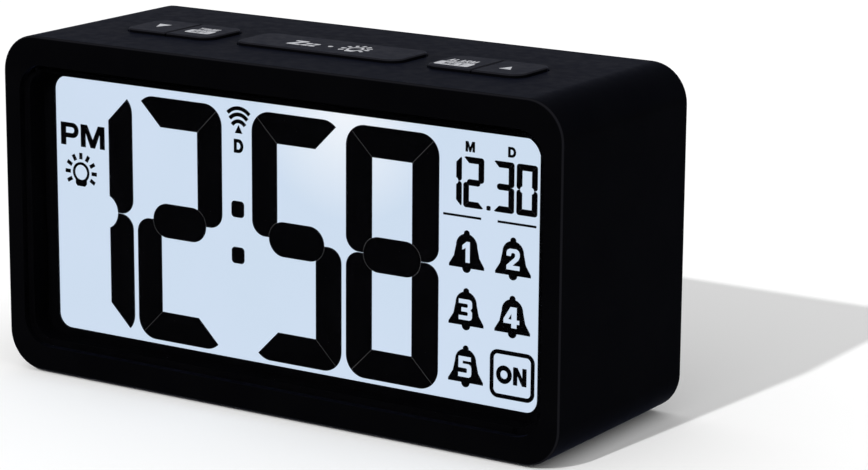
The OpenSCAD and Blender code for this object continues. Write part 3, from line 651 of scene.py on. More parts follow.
def block(name: str, low: Point, high: Point) -> Piece:
    """Adds a cube between two corners.

    Args:
        name: the object's name.
        low: lowest corner in mm.
        high: highest corner in mm.

    Returns:
        The object, with its place in its mesh.
    """
    bpy.ops.object.select_all(action="DESELECT")
    middle = (Vector(low) + Vector(high)) * MM / 2
    bpy.ops.mesh.primitive_cube_add(size=1, location=middle, scale=(Vector(high) - Vector(low)) * MM)
    return placed(name)


def rod(name: str, start: Point, length: float, radius: float, axis: Axis, sides: int = ROUND_SIDES) -> Piece:
    """Adds a cylinder along an axis.

    Args:
        name: the object's name.
        start: middle of its lower end in mm.
        length: length in mm.
        radius: radius in mm.
        axis: its direction.
        sides: number of flat sides.

    Returns:
        The object, with its place in its mesh.
    """
    bpy.ops.object.select_all(action="DESELECT")
    middle = Vector(start)
    middle[axis.value] += length / 2
    turn = {Axis.X: (0, math.pi / 2, 0), Axis.Y: (math.pi / 2, 0, 0), Axis.Z: (0, 0, 0)}[axis]
    bpy.ops.mesh.primitive_cylinder_add(vertices=sides, radius=radius * MM, depth=length * MM,
                                        location=middle * MM, rotation=turn)
    return placed(name)


def placed(name: str) -> Piece:
    """Names the new active object and moves its place into its mesh.

    Args:
        name: the object's name.

    Returns:
        The object.
    """
    piece = bpy.context.object
    piece.name = name
    bpy.ops.object.transform_apply(location=True, rotation=True, scale=True)
    return piece


def raised(place: Flat, axis: Axis, level: float) -> Point:
    """Puts a place that is seen along an axis at a level in mm.

    Args:
        place: its two coordinates in mm.
        axis: the direction that it is seen along.
        level: its coordinate along that axis in mm.

    Returns:
        The point in mm.
    """
    point = list(place)
    point.insert(axis.value, level)
    return (point[0], point[1], point[2])


def rods(places: Sequence[Flat], start: float, end: float, radius: float, axis: Axis,
         sides: int = ROUND_SIDES) -> list[Piece]:
    """Adds equal cylinders along an axis.

    Args:
        places: their middles seen along the axis, in mm.
        start: level of their lower ends in mm.
        end: level of their upper ends in mm.
        radius: radius in mm.
        axis: their direction.
        sides: number of flat sides.

    Returns:
        The objects, with their places in their meshes.
    """
    return [rod("rod", raised(place, axis, start), end - start, radius, axis, sides) for place in places]


def edit(piece: Piece, element: Element, test: Test, *steps: Callable[[], Any]) -> None:
    """Selects faces or edges by their place and runs edit-mode steps on them.

    Args:
        piece: the object.
        element: faces or edges.
        test: takes the middle in mm, and the normal of a face or the direction of an edge.
        steps: operators to run in turn.
    """
    only(piece)
    bpy.ops.object.mode_set(mode="EDIT")
    bpy.context.tool_settings.mesh_select_mode = element.value
    bpy.ops.mesh.select_all(action="DESELECT")
    mesh = bmesh.from_edit_mesh(piece.data)
    if element is Element.FACES:
        for face in mesh.faces:
            face.select_set(test(face.calc_center_median() / MM, face.normal))
    else:
        for edge in mesh.edges:
            first, second = (v.co for v in edge.verts)
            if test((first + second) / 2 / MM, (second - first).normalized()):
                edge.select_set(True)
    bmesh.update_edit_mesh(piece.data)
    for step in steps:
        step()
    bpy.ops.object.mode_set(mode="OBJECT")


def in_plane(axis: Axis, level: float) -> Test:
    """Gives a test for the edges that lie in the plane across an axis at a level in mm."""
    return lambda at, way: abs(at[axis.value] - level) < NEAR and abs(way[axis.value]) < ACROSS


def facing(axis: Axis, way: int) -> Test:
    """Gives a test for the faces that look up or down an axis."""
    return lambda at, normal: normal[axis.value] * way > ALONG


def soften(piece: Piece, test: Test, width: float, steps: int = FINE_STEPS) -> None:
    """Rounds the edges that pass the test by a width in mm."""
    edit(piece, Element.EDGES, test,
         lambda: bpy.ops.mesh.bevel(offset=width * MM, segments=steps, affect="EDGES"))


def round_along(piece: Piece, axis: Axis, radius: float, test: Test = lambda at, way: True) -> None:
    """Rounds the edges that run along an axis by a radius in mm."""
    soften(piece, lambda at, way: abs(way[axis.value]) > ALONG and test(at, way), radius, CORNER_STEPS)


def rounded_block(name: str, low: Point, high: Point, axis: Axis, radius: float) -> Piece:
    """Adds a block whose edges along one axis are round.

    Args:
        name: the object's name.
        low: lowest corner in mm.
        high: highest corner in mm.
        axis: the direction of the round edges.
        radius: their radius in mm.

    Returns:
        The object, with its place in its mesh.
    """
    piece = block(name, low, high)
    round_along(piece, axis, radius)
    return piece


def inset(width: float) -> Callable[[], Any]:
    """Gives a step that insets the selected faces by a width in mm."""
    return lambda: bpy.ops.mesh.inset(thickness=width * MM)


def push(way: Point) -> Callable[[], Any]:
    """Gives a step that extrudes the selected faces along a vector in mm.

    Args:
        way: the vector in mm.

    Returns:
        The step.
    """

    def step() -> None:
        """Extrudes, and sorts the edges and faces by their corners, since new ones come in any order."""
        bpy.ops.mesh.extrude_region_move(TRANSFORM_OT_translate={"value": Vector(way) * MM})
        mesh = bmesh.from_edit_mesh(bpy.context.object.data)
        mesh.verts.index_update()
        for elements in (mesh.edges, mesh.faces):
            ranked = sorted(elements, key=lambda element: sorted(corner.index for corner in element.verts))
            for rank, element in enumerate(ranked):
                element.index = rank
            elements.sort()
        bmesh.update_edit_mesh(bpy.context.object.data)

    return step


def apply(piece: Piece, modifier: bpy.types.Modifier) -> None:
    """Applies one modifier."""
    only(piece)
    bpy.ops.object.modifier_apply(modifier=modifier.name)


def act(piece: Piece, join: Join, *others: Piece) -> None:
    """Cuts other solids out of a piece, or welds them to it, and removes them.

    Args:
        piece: the piece that stays.
        join: cut or weld.
        others: the other solids, which don't touch each other.
    """
    tool = joined("tool", others)
    modifier = piece.modifiers.new(join.name, "BOOLEAN")
    modifier.operation = join.value
    modifier.solver = "EXACT"
    modifier.object = tool
    apply(piece, modifier)
    bpy.data.objects.remove(tool)


def joined(name: str, pieces: Sequence[Piece]) -> Piece:
    """Joins several objects into the first one and names it.

    Args:
        name: the joined object's name.
        pieces: the objects.

    Returns:
        The joined object.
    """
    only(pieces[0])
    for piece in pieces:
        piece.select_set(True)
    if len(pieces) > 1:
        bpy.ops.object.join()
    pieces[0].name = name
    return pieces[0]


def spread(name: str, piece: Piece, axis: Axis, places: Sequence[Flat]) -> Piece:
    """Copies a piece to more places and joins it with its copies.

    Args:
        name: the name of the joined object.
        piece: the piece, which stands at the first place.
        axis: the direction that the places are seen along.
        places: all the places in mm.

    Returns:
        The joined object.
    """
    pieces = [piece]
    for place in places[1:]:
        twin = piece.copy()
        twin.data = piece.data.copy()
        bpy.context.collection.objects.link(twin)
        shift = raised((place[0] - places[0][0], place[1] - places[0][1]), axis, 0)
        twin.data.transform(Matrix.Translation(Vector(shift) * MM))
        pieces.append(twin)
    return joined(name, pieces)


def cleaned(piece: Piece) -> Piece:
    """Merges doubles, turns the faces outwards and shades the curved ones smooth.

    Args:
        piece: the object.

    Returns:
        The same object.
    """
    edit(piece, Element.FACES, lambda at, way: True,
         lambda: bpy.ops.mesh.remove_doubles(threshold=MERGE_GAP * MM),
         lambda: bpy.ops.mesh.normals_make_consistent(inside=False))
    only(piece)
    bpy.ops.object.shade_smooth_by_angle(angle=SMOOTH_ANGLE)
    weighted = piece.modifiers.new("even_normals", "WEIGHTED_NORMAL")
    weighted.keep_sharp = True
    apply(piece, weighted)
    return piece


def settle(piece: Piece, body: str, slot: str, finish: Finish, *nodes: str) -> None:
    """Gives a finished piece its material and its body, and hides the CAD nodes that it replaces.

    Args:
        piece: the finished piece.
        body: the body that it moves with.
        slot: the record's material slot; not used.
        finish: its finish.
        nodes: the CAD nodes that it replaces.
    """
    finish.dress(piece)
    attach(piece, body)
    if nodes:
        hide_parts(*nodes)
    log.info("%s: %d faces, on %s", piece.name, len(piece.data.polygons), body)


def paint(piece: Piece, finish: Finish, test: Test) -> None:
    """Gives the faces that pass the test a second finish.

    Args:
        piece: the object.
        finish: the second finish.
        test: takes a face's middle in mm and its normal.
    """
    piece.data.materials.append(finish.material())
    for face in piece.data.polygons:
        if test(face.center / MM, face.normal):
            face.material_index = len(piece.data.materials) - 1


def meshed(name: str, curve: bpy.types.Curve, place: Matrix = Matrix()) -> Piece:
    """Turns a curve into a clean mesh object.

    Args:
        name: the object's name.
        curve: the curve, in metres.
        place: where the curve's own frame lies.

    Returns:
        The mesh object, with its place in its mesh.
    """
    piece = bpy.data.objects.new(name, curve)
    bpy.context.collection.objects.link(piece)
    only(piece)
    bpy.ops.object.convert(target="MESH")
    piece = bpy.context.object
    piece.data.transform(place)
    return cleaned(piece)


# Prints


def arc(middle: Flat, radius: float, start: float, end: float, steps: int = ARC_STEPS) -> Contour:
    """Gives points on an arc between two angles in degrees."""
    angles = [math.radians(start + (end - start) * i / steps) for i in range(steps + 1)]
    return [(middle[0] + radius * math.cos(a), middle[1] + radius * math.sin(a)) for a in angles]


def circle(middle: Flat, radius: float) -> Contour:
    """Gives the outline of a circle."""
    return arc(middle, radius, 0, FULL_TURN - FULL_TURN / CIRCLE_POINTS, CIRCLE_POINTS - 1)


def ring(middle: Flat, outer: float, inner: float, start: float, end: float) -> Contour:
    """Gives the outline of a part of a ring."""
    return arc(middle, outer, start, end) + arc(middle, inner, end, start)


def soft_box(low: Flat, high: Flat, radius: float) -> Contour:
    """Gives the outline of a rectangle with round corners.

    Args:
        low: lower left corner in mm.
        high: upper right corner in mm.
        radius: radius of its corners in mm.

    Returns:
        The outline.
    """
    left, right, front, back = low[0] + radius, high[0] - radius, low[1] + radius, high[1] - radius
    middles = ((right, back), (left, back), (left, front), (right, front))
    outline = []
    for i, middle in enumerate(middles):
        outline += arc(middle, radius, QUARTER_TURN * i, QUARTER_TURN * (i + 1), BOX_STEPS)
    return outline


def fitted(contours: Sequence[Contour], by: Flat, size: Flat = (1.0, 1.0)) -> list[Contour]:
    """Scales outlines about the origin and then moves them."""
    return [[(x * size[0] + by[0], y * size[1] + by[1]) for x, y in contour] for contour in contours]


def printed(name: str, contours: Sequence[Contour], axis: Axis, level: float, film: float) -> Piece:
    """Makes a thin print from closed outlines in mm.

    Args:
        name: the object's name.
        contours: outlines that don't cross; one inside another is a hole.
        axis: Y for a print that faces the front, Z for one that faces up.
        level: depth or height of its middle plane in mm.
        film: its thickness in mm.

    Returns:
        The print as a mesh object.
    """
    curve = bpy.data.curves.new(name, "CURVE")
    curve.dimensions = "2D"
    curve.fill_mode = "BOTH"
    curve.extrude = film * MM / 2
    for contour in contours:
        spline = curve.splines.new("POLY")
        spline.points.add(len(contour) - 1)
        for point, (x, y) in zip(spline.points, contour):
            point.co = (x * MM, y * MM, 0, 1)
        spline.use_cyclic_u = True
    turn = Matrix.Rotation(math.pi / 2, 4, "X") if axis is Axis.Y else Matrix()
    shift = Vector()
    shift[axis.value] = level * MM
    return meshed(name, curve, Matrix.Translation(shift) @ turn)


# A bulb with nine rays, about the middle of its globe: the radii and the ends of the globe, and the reach,
# half width and angles of the rays, in mm and degrees
BULB_R: Flat = (2.2, 1.6)
BULB_ARC: Flat = (-48, 228)
RAY_REACH: Flat = (2.8, 4.15)
RAY_HALF = 0.4
RAY_ANGLES = range(-30, 211, 30)
LAMP_SIGN: list[Contour] = [
    arc((0, 0), BULB_R[0], *BULB_ARC) + [(-1.47, -2.4), (-1.0, -2.95), (1.0, -2.95), (1.47, -2.4)],
    circle((0, 0), BULB_R[1]),
] + [
    [(r * math.cos(a) - w * math.sin(a), r * math.sin(a) + w * math.cos(a))
     for r, side in zip(RAY_REACH, (1, -1)) for w in (side * RAY_HALF, -side * RAY_HALF)]
    for a in map(math.radians, RAY_ANGLES)
]

# Bold letters and numerals in a box of 1 by 1, where a second outline is a hole; "m" is a heavier M
GLYPHS: dict[str, list[Contour]] = {
    "A": [[(0, 0), (0.28, 0), (0.36, 0.22), (0.64, 0.22), (0.72, 0), (1, 0), (0.66, 1), (0.34, 1)],
          [(0.43, 0.42), (0.57, 0.42), (0.5, 0.68)]],
    "D": [[(0, 1), (0, 0)] + arc((0.5, 0.5), 0.5, -90, 90),
          [(0.3, 0.25)] + arc((0.45, 0.5), 0.25, -90, 90) + [(0.3, 0.75)]],
    "E": [[(0, 0), (1, 0), (1, 0.2), (0.32, 0.2), (0.32, 0.41), (0.92, 0.41), (0.92, 0.6), (0.32, 0.6),
           (0.32, 0.8), (1, 0.8), (1, 1), (0, 1)]],
    "I": [[(0, 0), (1, 0), (1, 1), (0, 1)]],
    "L": [[(0, 0), (1, 0), (1, 0.2), (0.32, 0.2), (0.32, 1), (0, 1)]],
    "M": [[(0, 0), (0.2, 0), (0.2, 0.66), (0.41, 0), (0.59, 0), (0.8, 0.66), (0.8, 0), (1, 0), (1, 1),
           (0.73, 1), (0.5, 0.36), (0.27, 1), (0, 1)]],
    "m": [[(0, 0), (0.25, 0), (0.25, 0.56), (0.41, 0), (0.59, 0), (0.75, 0.56), (0.75, 0), (1, 0), (1, 1),
           (0.71, 1), (0.5, 0.43), (0.29, 1), (0, 1)]],
    "N": [[(0, 0), (0.31, 0), (0.31, 0.56), (0.68, 0), (1, 0), (1, 1), (0.69, 1), (0.69, 0.44), (0.32, 1),
           (0, 1)]],
    "O": [circle((0.5, 0.5), 0.5), circle((0.5, 0.5), 0.23)],
    "P": [[(0, 1), (0, 0), (0.29, 0), (0.29, 0.33)] + arc((0.665, 0.665), 0.335, -90, 90),
          [(0.29, 0.54)] + arc((0.63, 0.67), 0.13, -90, 90) + [(0.29, 0.8)]],
    "R": [[(0, 1), (0, 0), (0.29, 0), (0.29, 0.34), (0.42, 0.34), (0.68, 0), (1, 0), (0.74, 0.37)]
          + arc((0.67, 0.68), 0.32, -60, 90),
          [(0.29, 0.54)] + arc((0.63, 0.67), 0.13, -90, 90) + [(0.29, 0.8)]],
    "S": [[(0, 0), (0.8, 0), (0.95, 0.06), (1, 0.17), (1, 0.44), (0.94, 0.55), (0.8, 0.6), (0.33, 0.6),
           (0.33, 0.8), (0.96, 0.8), (0.96, 1), (0.2, 1), (0.05, 0.94), (0, 0.83), (0, 0.56), (0.06, 0.45),
           (0.2, 0.4), (0.67, 0.4), (0.67, 0.2), (0, 0.2)]],
    "T": [[(0.36, 0), (0.64, 0), (0.64, 0.8), (1, 0.8), (1, 1), (0, 1), (0, 0.8), (0.36, 0.8)]],
    "Z": [[(0, 0), (1, 0), (1, 0.21), (0.42, 0.21), (1, 0.8), (1, 1), (0.04, 1), (0.04, 0.79), (0.56, 0.79),
           (0, 0.2)]],
    "1": [[(0.44, 0), (1, 0), (1, 1), (0.56, 1), (0, 0.81), (0, 0.59), (0.44, 0.7)]],
    "2": [[(0, 0), (1, 0), (1, 0.21), (0.47, 0.21), (0.9, 0.49), (1, 0.65), (1, 0.8), (0.93, 0.92), (0.78, 1),
           (0.24, 1), (0.07, 0.93), (0, 0.82), (0, 0.65), (0.33, 0.65), (0.36, 0.77), (0.44, 0.81),
           (0.58, 0.81), (0.66, 0.75), (0.65, 0.65), (0.57, 0.57), (0, 0.2)]],
    "3": [[(0, 0), (0.8, 0), (0.94, 0.05), (1, 0.15), (1, 0.4), (0.88, 0.5), (1, 0.61), (1, 0.85),
           (0.94, 0.95), (0.8, 1), (0, 1), (0, 0.79), (0.62, 0.79), (0.68, 0.75), (0.68, 0.65), (0.62, 0.6),
           (0.2, 0.6), (0.2, 0.4), (0.62, 0.4), (0.68, 0.36), (0.68, 0.25), (0.62, 0.21), (0, 0.21)]],
    "4": [[(0.5, 0), (0.83, 0), (0.83, 0.2), (1, 0.2), (1, 0.4), (0.83, 0.4), (0.83, 1), (0.44, 1), (0, 0.4),
           (0, 0.2), (0.5, 0.2)], [(0.3, 0.4), (0.5, 0.4), (0.5, 0.68)]],
    "5": [[(0, 0), (0.8, 0), (0.95, 0.06), (1, 0.17), (1, 0.47), (0.94, 0.59), (0.8, 0.65), (0.34, 0.65),
           (0.34, 0.79), (0.96, 0.79), (0.96, 1), (0.02, 1), (0.02, 0.44), (0.61, 0.44), (0.67, 0.4),
           (0.67, 0.25), (0.61, 0.21), (0, 0.21)]],
}
# Widths of the letters that are narrower or wider than the others, and the gap between two letters
GLYPH_WIDTHS = {"I": 0.35, "M": 1.25}
GLYPH_GAP = 0.2


def glyph(sign: str, low: Flat, high: Flat) -> list[Contour]:
    """Gives the outlines of a letter or numeral that fills a box between two corners in mm."""
    return fitted(GLYPHS[sign], low, (high[0] - low[0], high[1] - low[1]))


def word(text: str, low: Flat, high: Flat) -> list[Contour]:
    """Sets a word in capitals that fills a box.

    Args:
        text: the word.
        low: lower left corner in mm.
        high: upper right corner in mm.

    Returns:
        The outlines of its letters.
    """
    widths = [GLYPH_WIDTHS.get(letter, 1.0) for letter in text]
    unit = (high[0] - low[0]) / (sum(widths) + GLYPH_GAP * (len(text) - 1))
    outlines, left = [], low[0]
    for letter, width in zip(text, widths):
        outlines += glyph(letter, (left, low[1]), (left + width * unit, high[1]))
        left += (width + GLYPH_GAP) * unit
    return outlines


# Sub-assemblies

# Sizes that two of them share: the walls, the keys' flanges, and how far the feet and the rear screws
# sit in from the sides of the case
WALL = 2.4
FLANGE = 1.2
FOOT_INSET: Flat = (13.5, 9.0)
SCREW_INSET: Flat = (7.0, 7.0)


@dataclass
class Housing:
    """The one-piece black case with its window, key openings, bosses and foot pockets."""

    case: Extent = Extent.of("front_case")
    lens: Extent = Extent.of("display_lens")
    holder: Extent = Extent.of("lcd_frame")
    corner: float = 8.0
    front_wall: float = 3.0
    front_rim: float = 0.55
    back_rim: float = 0.4
    opening_r: float = 4.5
    lens_gap: float = 0.15
    lens_ledge: float = 1.5
    skirt: float = 1.2
    key_groups: tuple[tuple[str, str], ...] = (("down", "set"), ("snooze", "snooze"), ("mode", "up"))
    key_gap: float = 0.25
    key_r: float = 3.25
    key_lip: float = 0.25
    lip_near: float = 0.06
    foot_r: float = 4.58
    foot_in: float = 1.0
    boss_r: float = 3.2
    boss_clear: float = 2.4
    rib: float = 1.6
    pilot_r: float = 1.38
    pilot_l: float = 9.0
    small_pilot_r: float = 0.88
    display_inset: Flat = (2.1, 4.0)
    display_boss_r: float = 1.7
    display_pilot: float = 0.9
    end_boss_r: float = 2.1
    gap_boss_r: float = 1.7
    boss_gap: float = 0.6
    key_pilot: float = 4.0

    def build(self) -> None:
        """Builds the shell and puts it in the case's place."""
        shell = self.shell()
        self.window(shell)
        self.openings(shell)
        self.cover_bosses(shell)
        self.display_bosses(shell)
        self.key_bosses(shell)
        settle(cleaned(shell), "case", "case_plastic", CASE_PLASTIC, "front_case")
        paint(shell, MASK_PLASTIC, self.in_window)

    def shell(self) -> Piece:
        """Makes the rounded box and hollows it from the back.

        Returns:
            The shell.
        """
        case = self.case
        low, high = (case.left, case.front, case.base), (case.right, case.back, case.top)
        shell = rounded_block("case_shell", low, high, Axis.Y, self.corner)
        soften(shell, in_plane(Axis.Y, case.front), self.front_rim, FINE_STEPS + 1)
        soften(shell, in_plane(Axis.Y, case.back), self.back_rim)
        edit(shell, Element.FACES, facing(Axis.Y, 1), inset(WALL - self.back_rim),
             push((0, case.front + self.front_wall - case.back, 0)))
        return shell

    def opening(self, grow: float) -> tuple[Flat, Flat]:
        """Gives two opposite corners of the window opening, grown all round."""
        lens, step = self.lens, self.lens_ledge - self.lens_gap - grow
        return (lens.left + step, lens.base + step), (lens.right - step, lens.top - step)

    def pane(self, grow: float, start: float, end: float) -> Piece:
        """Gives a rounded block as large as the window opening, grown all round."""
        (left, base), (right, top) = self.opening(grow)
        return rounded_block("pane", (left, start, base), (right, end, top), Axis.Y, self.opening_r + grow)

    def window(self, shell: Piece) -> None:
        """Adds the skirt behind the front wall and cuts the window and the lens's ledge.

        Args:
            shell: the case.
        """
        front, mask = self.case.front, self.holder.front
        act(shell, Join.WELD, self.pane(self.skirt, front + self.front_wall - OVER, mask))
        act(shell, Join.CUT, self.pane(0, front - OVER, mask + OVER))
        act(shell, Join.CUT, self.pane(self.lens_ledge, front - OVER, self.lens.back))

    def in_window(self, at: Vector, way: Vector) -> bool:
        """Tells whether a face is a wall of the window, behind the lens.

        Args:
            at: the face's middle in mm.
            way: its normal.

        Returns:
            True if it is.
        """
        (left, base), (right, top) = self.opening(NEAR)
        behind = self.lens.back - NEAR < at.y < self.holder.front and abs(way.y) < ACROSS
        return behind and left < at.x < right and base < at.z < top

    def key_openings(self) -> list[tuple[Flat, Flat]]:
        """Gives the front left and the back right corner of each key opening.

        Returns:
            The two corners of each, in mm.
        """
        step = FLANGE - self.key_gap
        ends = [(Extent.of(f"key_{first}"), Extent.of(f"key_{last}")) for first, last in self.key_groups]
        return [((first.left + step, first.front + step), (last.right - step, last.back - step))
                for first, last in ends]

    def openings(self, shell: Piece) -> None:
        """Cuts the key openings, with a soft lip, and the foot pockets.

        Args:
            shell: the case.
        """
        top, base = self.case.top, self.case.base
        for low, high in self.key_openings():
            hole = rounded_block("hole", (*low, top - WALL - OVER), (*high, top + OVER), Axis.Z, self.key_r)
            act(shell, Join.CUT, hole)
        on_top = in_plane(Axis.Z, top)
        soften(shell, lambda at, way: on_top(at, way) and self.on_lip(at), self.key_lip, FINE_STEPS - 1)
        feet = self.case.corners(Axis.Z, FOOT_INSET)
        act(shell, Join.CUT, *rods(feet, base - OVER, base + self.foot_in, self.foot_r, Axis.Z))

    def on_lip(self, at: Vector) -> bool:
        """Tells whether a point at the top lies on the outline of a key opening.

        Args:
            at: the point in mm.

        Returns:
            True if it does.
        """
        for low, high in self.key_openings():
            dx, dy = (self.key_r + max(low[i] - at[i], at[i] - high[i]) for i in (0, 1))
            away = math.hypot(dx, dy) if dx > 0 and dy > 0 else max(dx, dy)
            if abs(away - self.key_r) < self.lip_near:
                return True
        return False

    def cover_bosses(self, shell: Piece) -> None:
        """Adds the rear cover's screw bosses, with their ribs and pilot holes.

        Args:
            shell: the case.
        """
        case, half = self.case, self.rib / 2
        start, end = Extent.of("main_board").back + self.boss_clear, case.back - WALL
        places, walls = case.corners(Axis.Y, SCREW_INSET), case.corners(Axis.Y, (WALL / 2, WALL / 2))
        act(shell, Join.WELD, *rods(places, start, end, self.boss_r, Axis.Y, SMALL_SIDES))
        pairs = list(zip(places, walls))
        flat = [((min(x, side), z - half), (max(x, side), z + half)) for (x, z), (side, _) in pairs]
        tall = [((x - half, min(z, side)), (x + half, max(z, side))) for (x, z), (_, side) in pairs]
        for ribs in (flat, tall):
            act(shell, Join.WELD, *(block("rib", raised(low, Axis.Y, start), raised(high, Axis.Y, end))
                                    for low, high in ribs))
        act(shell, Join.CUT, *rods(places, end - self.pilot_l, end + OVER, self.pilot_r, Axis.Y, SMALL_SIDES))

    def display_bosses(self, shell: Piece) -> None:
        """Adds the bosses that the display frame is screwed to.

        Args:
            shell: the case.
        """
        inside, mask = self.case.front + self.front_wall, self.holder.front
        places, floor = self.holder.corners(Axis.Y, self.display_inset), inside - self.display_pilot
        act(shell, Join.WELD, *rods(places, inside - LAP, mask, self.display_boss_r, Axis.Y, SMALL_SIDES))
        act(shell, Join.CUT, *rods(places, floor, mask + OVER, self.small_pilot_r, Axis.Y, TINY_SIDES))

    def key_bosses(self, shell: Piece) -> None:
        """Adds the bosses that the key board is screwed to, beside and between the keys.

        Args:
            shell: the case.
        """
        snooze, mode, last = (Extent.of(f"key_{name}") for name in ("snooze", "mode", "up"))
        start, ceiling = Extent.of("key_board").top, self.case.top - WALL
        floor, end = start - OVER, start + self.key_pilot
        end_x, gap_x = last.right + self.boss_gap + self.end_boss_r, (snooze.right + mode.left) / 2
        for x, radius in ((end_x, self.end_boss_r), (gap_x, self.gap_boss_r)):
            places = [(-x, last.middle.y), (x, last.middle.y)]
            act(shell, Join.WELD, *rods(places, start, ceiling + LAP, radius, Axis.Z, SMALL_SIDES))
            act(shell, Join.CUT, *rods(places, floor, end, self.small_pilot_r, Axis.Z, TINY_SIDES))


@dataclass
class KeyCap:
    """One press key: which of its sides are round, and the middle and size of its sign."""

    name: str
    round_left: bool
    round_right: bool
    sign: Sign
    at: Flat
    size: Flat

    @property
    def box(self) -> Extent:
        """The box of the key with its flange and its stem."""
        return Extent.of(f"key_{self.name}")


@dataclass
class KeyRow:
    """The row of keys on top, with their printed signs."""

    film: float = 0.03
    corner: float = 3.0
    split_corner: float = 0.3
    rim: float = 0.35
    flange_t: float = 1.2
    stem_r: float = 2.2
    stem_l: float = 1.6
    caps: tuple[KeyCap, ...] = (
        KeyCap("down", True, False, Sign.DOWN, (-43.3, -2.0), (3.1, 3.4)),
        KeyCap("set", False, True, Sign.TIME, (-31.95, -2.3), (6.2, 5.7)),
        KeyCap("snooze", True, True, Sign.DOZE, (0.1, -2.5), (6.8, 4.2)),
        KeyCap("mode", True, False, Sign.ALARM, (31.05, -3.3), (7.9, 6.3)),
        KeyCap("up", False, True, Sign.UP, (42.2, -2.6), (2.6, 2.8)),
    )
    doze_gap: float = 2.8
    doze_letters: tuple[tuple[float, float, float], ...] = ((0, 0.46, 1), (0.5, 0.74, 0.68), (0.77, 1, 0.68))
    dot_r: float = 0.55
    lamp_shift: Flat = (5.9, 0.2)
    lamp_scale: Flat = (0.8, 0.95)
    plate_word: str = "SET"
    plate_edge: float = 0.35
    plate_r: float = 0.6
    word_gap: float = 0.5
    word_share: float = 0.8
    plate_word_share: float = 0.6

    def build(self) -> None:
        """Builds every key and its sign."""
        signs = {Sign.UP: self.arrow, Sign.DOWN: self.arrow, Sign.DOZE: self.doze}
        for cap in self.caps:
            body = f"{cap.name}_key"
            settle(cleaned(self.cap(cap)), body, "key_plastic", KEY_PLASTIC, f"key_{cap.name}")
            outlines = signs.get(cap.sign, self.label)(cap)
            sign = printed(f"sign_{cap.name}", outlines, Axis.Z, cap.box.top - self.film / 2, self.film)
            settle(sign, body, "key_plastic", KEY_INK)

    def slab(self, cap: KeyCap, shrink: float, low: float, high: float) -> Piece:
        """Makes the key's outline as a block, shrunk on the sides that face the case.

        Args:
            cap: the key.
            shrink: by how much, in mm.
            low: height of its lower face in mm.
            high: height of its upper face in mm.

        Returns:
            The block.
        """
        box = cap.box
        left = box.left + (shrink if cap.round_left else 0)
        right = box.right - (shrink if cap.round_right else 0)
        slab = block(f"key_cap_{cap.name}", (left, box.front + shrink, low), (right, box.back - shrink, high))
        for side, is_round in ((left, cap.round_left), (right, cap.round_right)):
            radius = self.corner + FLANGE - shrink if is_round else self.split_corner
            round_along(slab, Axis.Z, radius, lambda at, way: abs(at.x - side) < NEAR)
        return slab

    def cap(self, cap: KeyCap) -> Piece:
        """Makes the cap, its flange and its stem, which stands on the switch's plunger.

        Args:
            cap: the key.

        Returns:
            The key as a mesh object.
        """
        base, top = cap.box.base + self.stem_l, cap.box.top - self.film
        key = self.slab(cap, FLANGE, base, top)
        soften(key, in_plane(Axis.Z, top), self.rim, FINE_STEPS + 1)
        act(key, Join.WELD, self.slab(cap, 0, base, base + self.flange_t))
        x, y, _ = Extent.of(f"plunger_{cap.name}").middle
        act(key, Join.WELD, *rods([(x, y)], cap.box.base, base + LAP, self.stem_r, Axis.Z, SMALL_SIDES))
        return key

    def arrow(self, cap: KeyCap) -> list[Contour]:
        """Gives an arrow that points to the front or to the back.

        Args:
            cap: the key.

        Returns:
            Its outline in mm.
        """
        (x, y), (w, d) = cap.at, cap.size
        tip = d / 2 * cap.sign.value
        return [[(x - w / 2, y - tip), (x + w / 2, y - tip), (x, y + tip)]]

    def doze(self, cap: KeyCap) -> list[Contour]:
        """Gives the doze sign, a dot and the lamp.

        Args:
            cap: the key.

        Returns:
            Their outlines in mm.
        """
        (x, y), (w, d) = cap.at, cap.size
        outlines = fitted(LAMP_SIGN, (x + self.lamp_shift[0], y + self.lamp_shift[1]), self.lamp_scale)
        outlines.append(circle((x, y), self.dot_r))
        left, front = x - self.doze_gap - w, y - d / 2
        for letter, (start, end, rise) in zip(cap.sign.value.upper(), self.doze_letters):
            outlines += glyph(letter, (left + start * w, front), (left + end * w, front + rise * d))
        return outlines

    def label(self, cap: KeyCap) -> list[Contour]:
        """Gives a word behind a plate that has its own word left out.

        Args:
            cap: the key.

        Returns:
            Their outlines in mm.
        """
        (x, y), (w, d) = cap.at, cap.size
        inner, outer = w * self.plate_word_share / 2, w * self.word_share / 2
        edge, margin = y + self.plate_edge, self.plate_r
        return ([soft_box((x - w / 2, y - d / 2), (x + w / 2, edge), self.plate_r)]
                + word(self.plate_word, (x - inner, y - d / 2 + margin), (x + inner, edge - margin))
                + word(cap.sign.value, (x - outer, edge + self.word_gap), (x + outer, y + d / 2)))


# The quarters of a digit as signs of X and Z, first those on the rising diagonal
QUARTERS: tuple[Flat, ...] = ((1, 1), (-1, -1), (-1, 1), (1, -1))
# Angle above or below the middle at which a hairline around a bar starts, so that two of them stay apart
BEND_FROM = 1


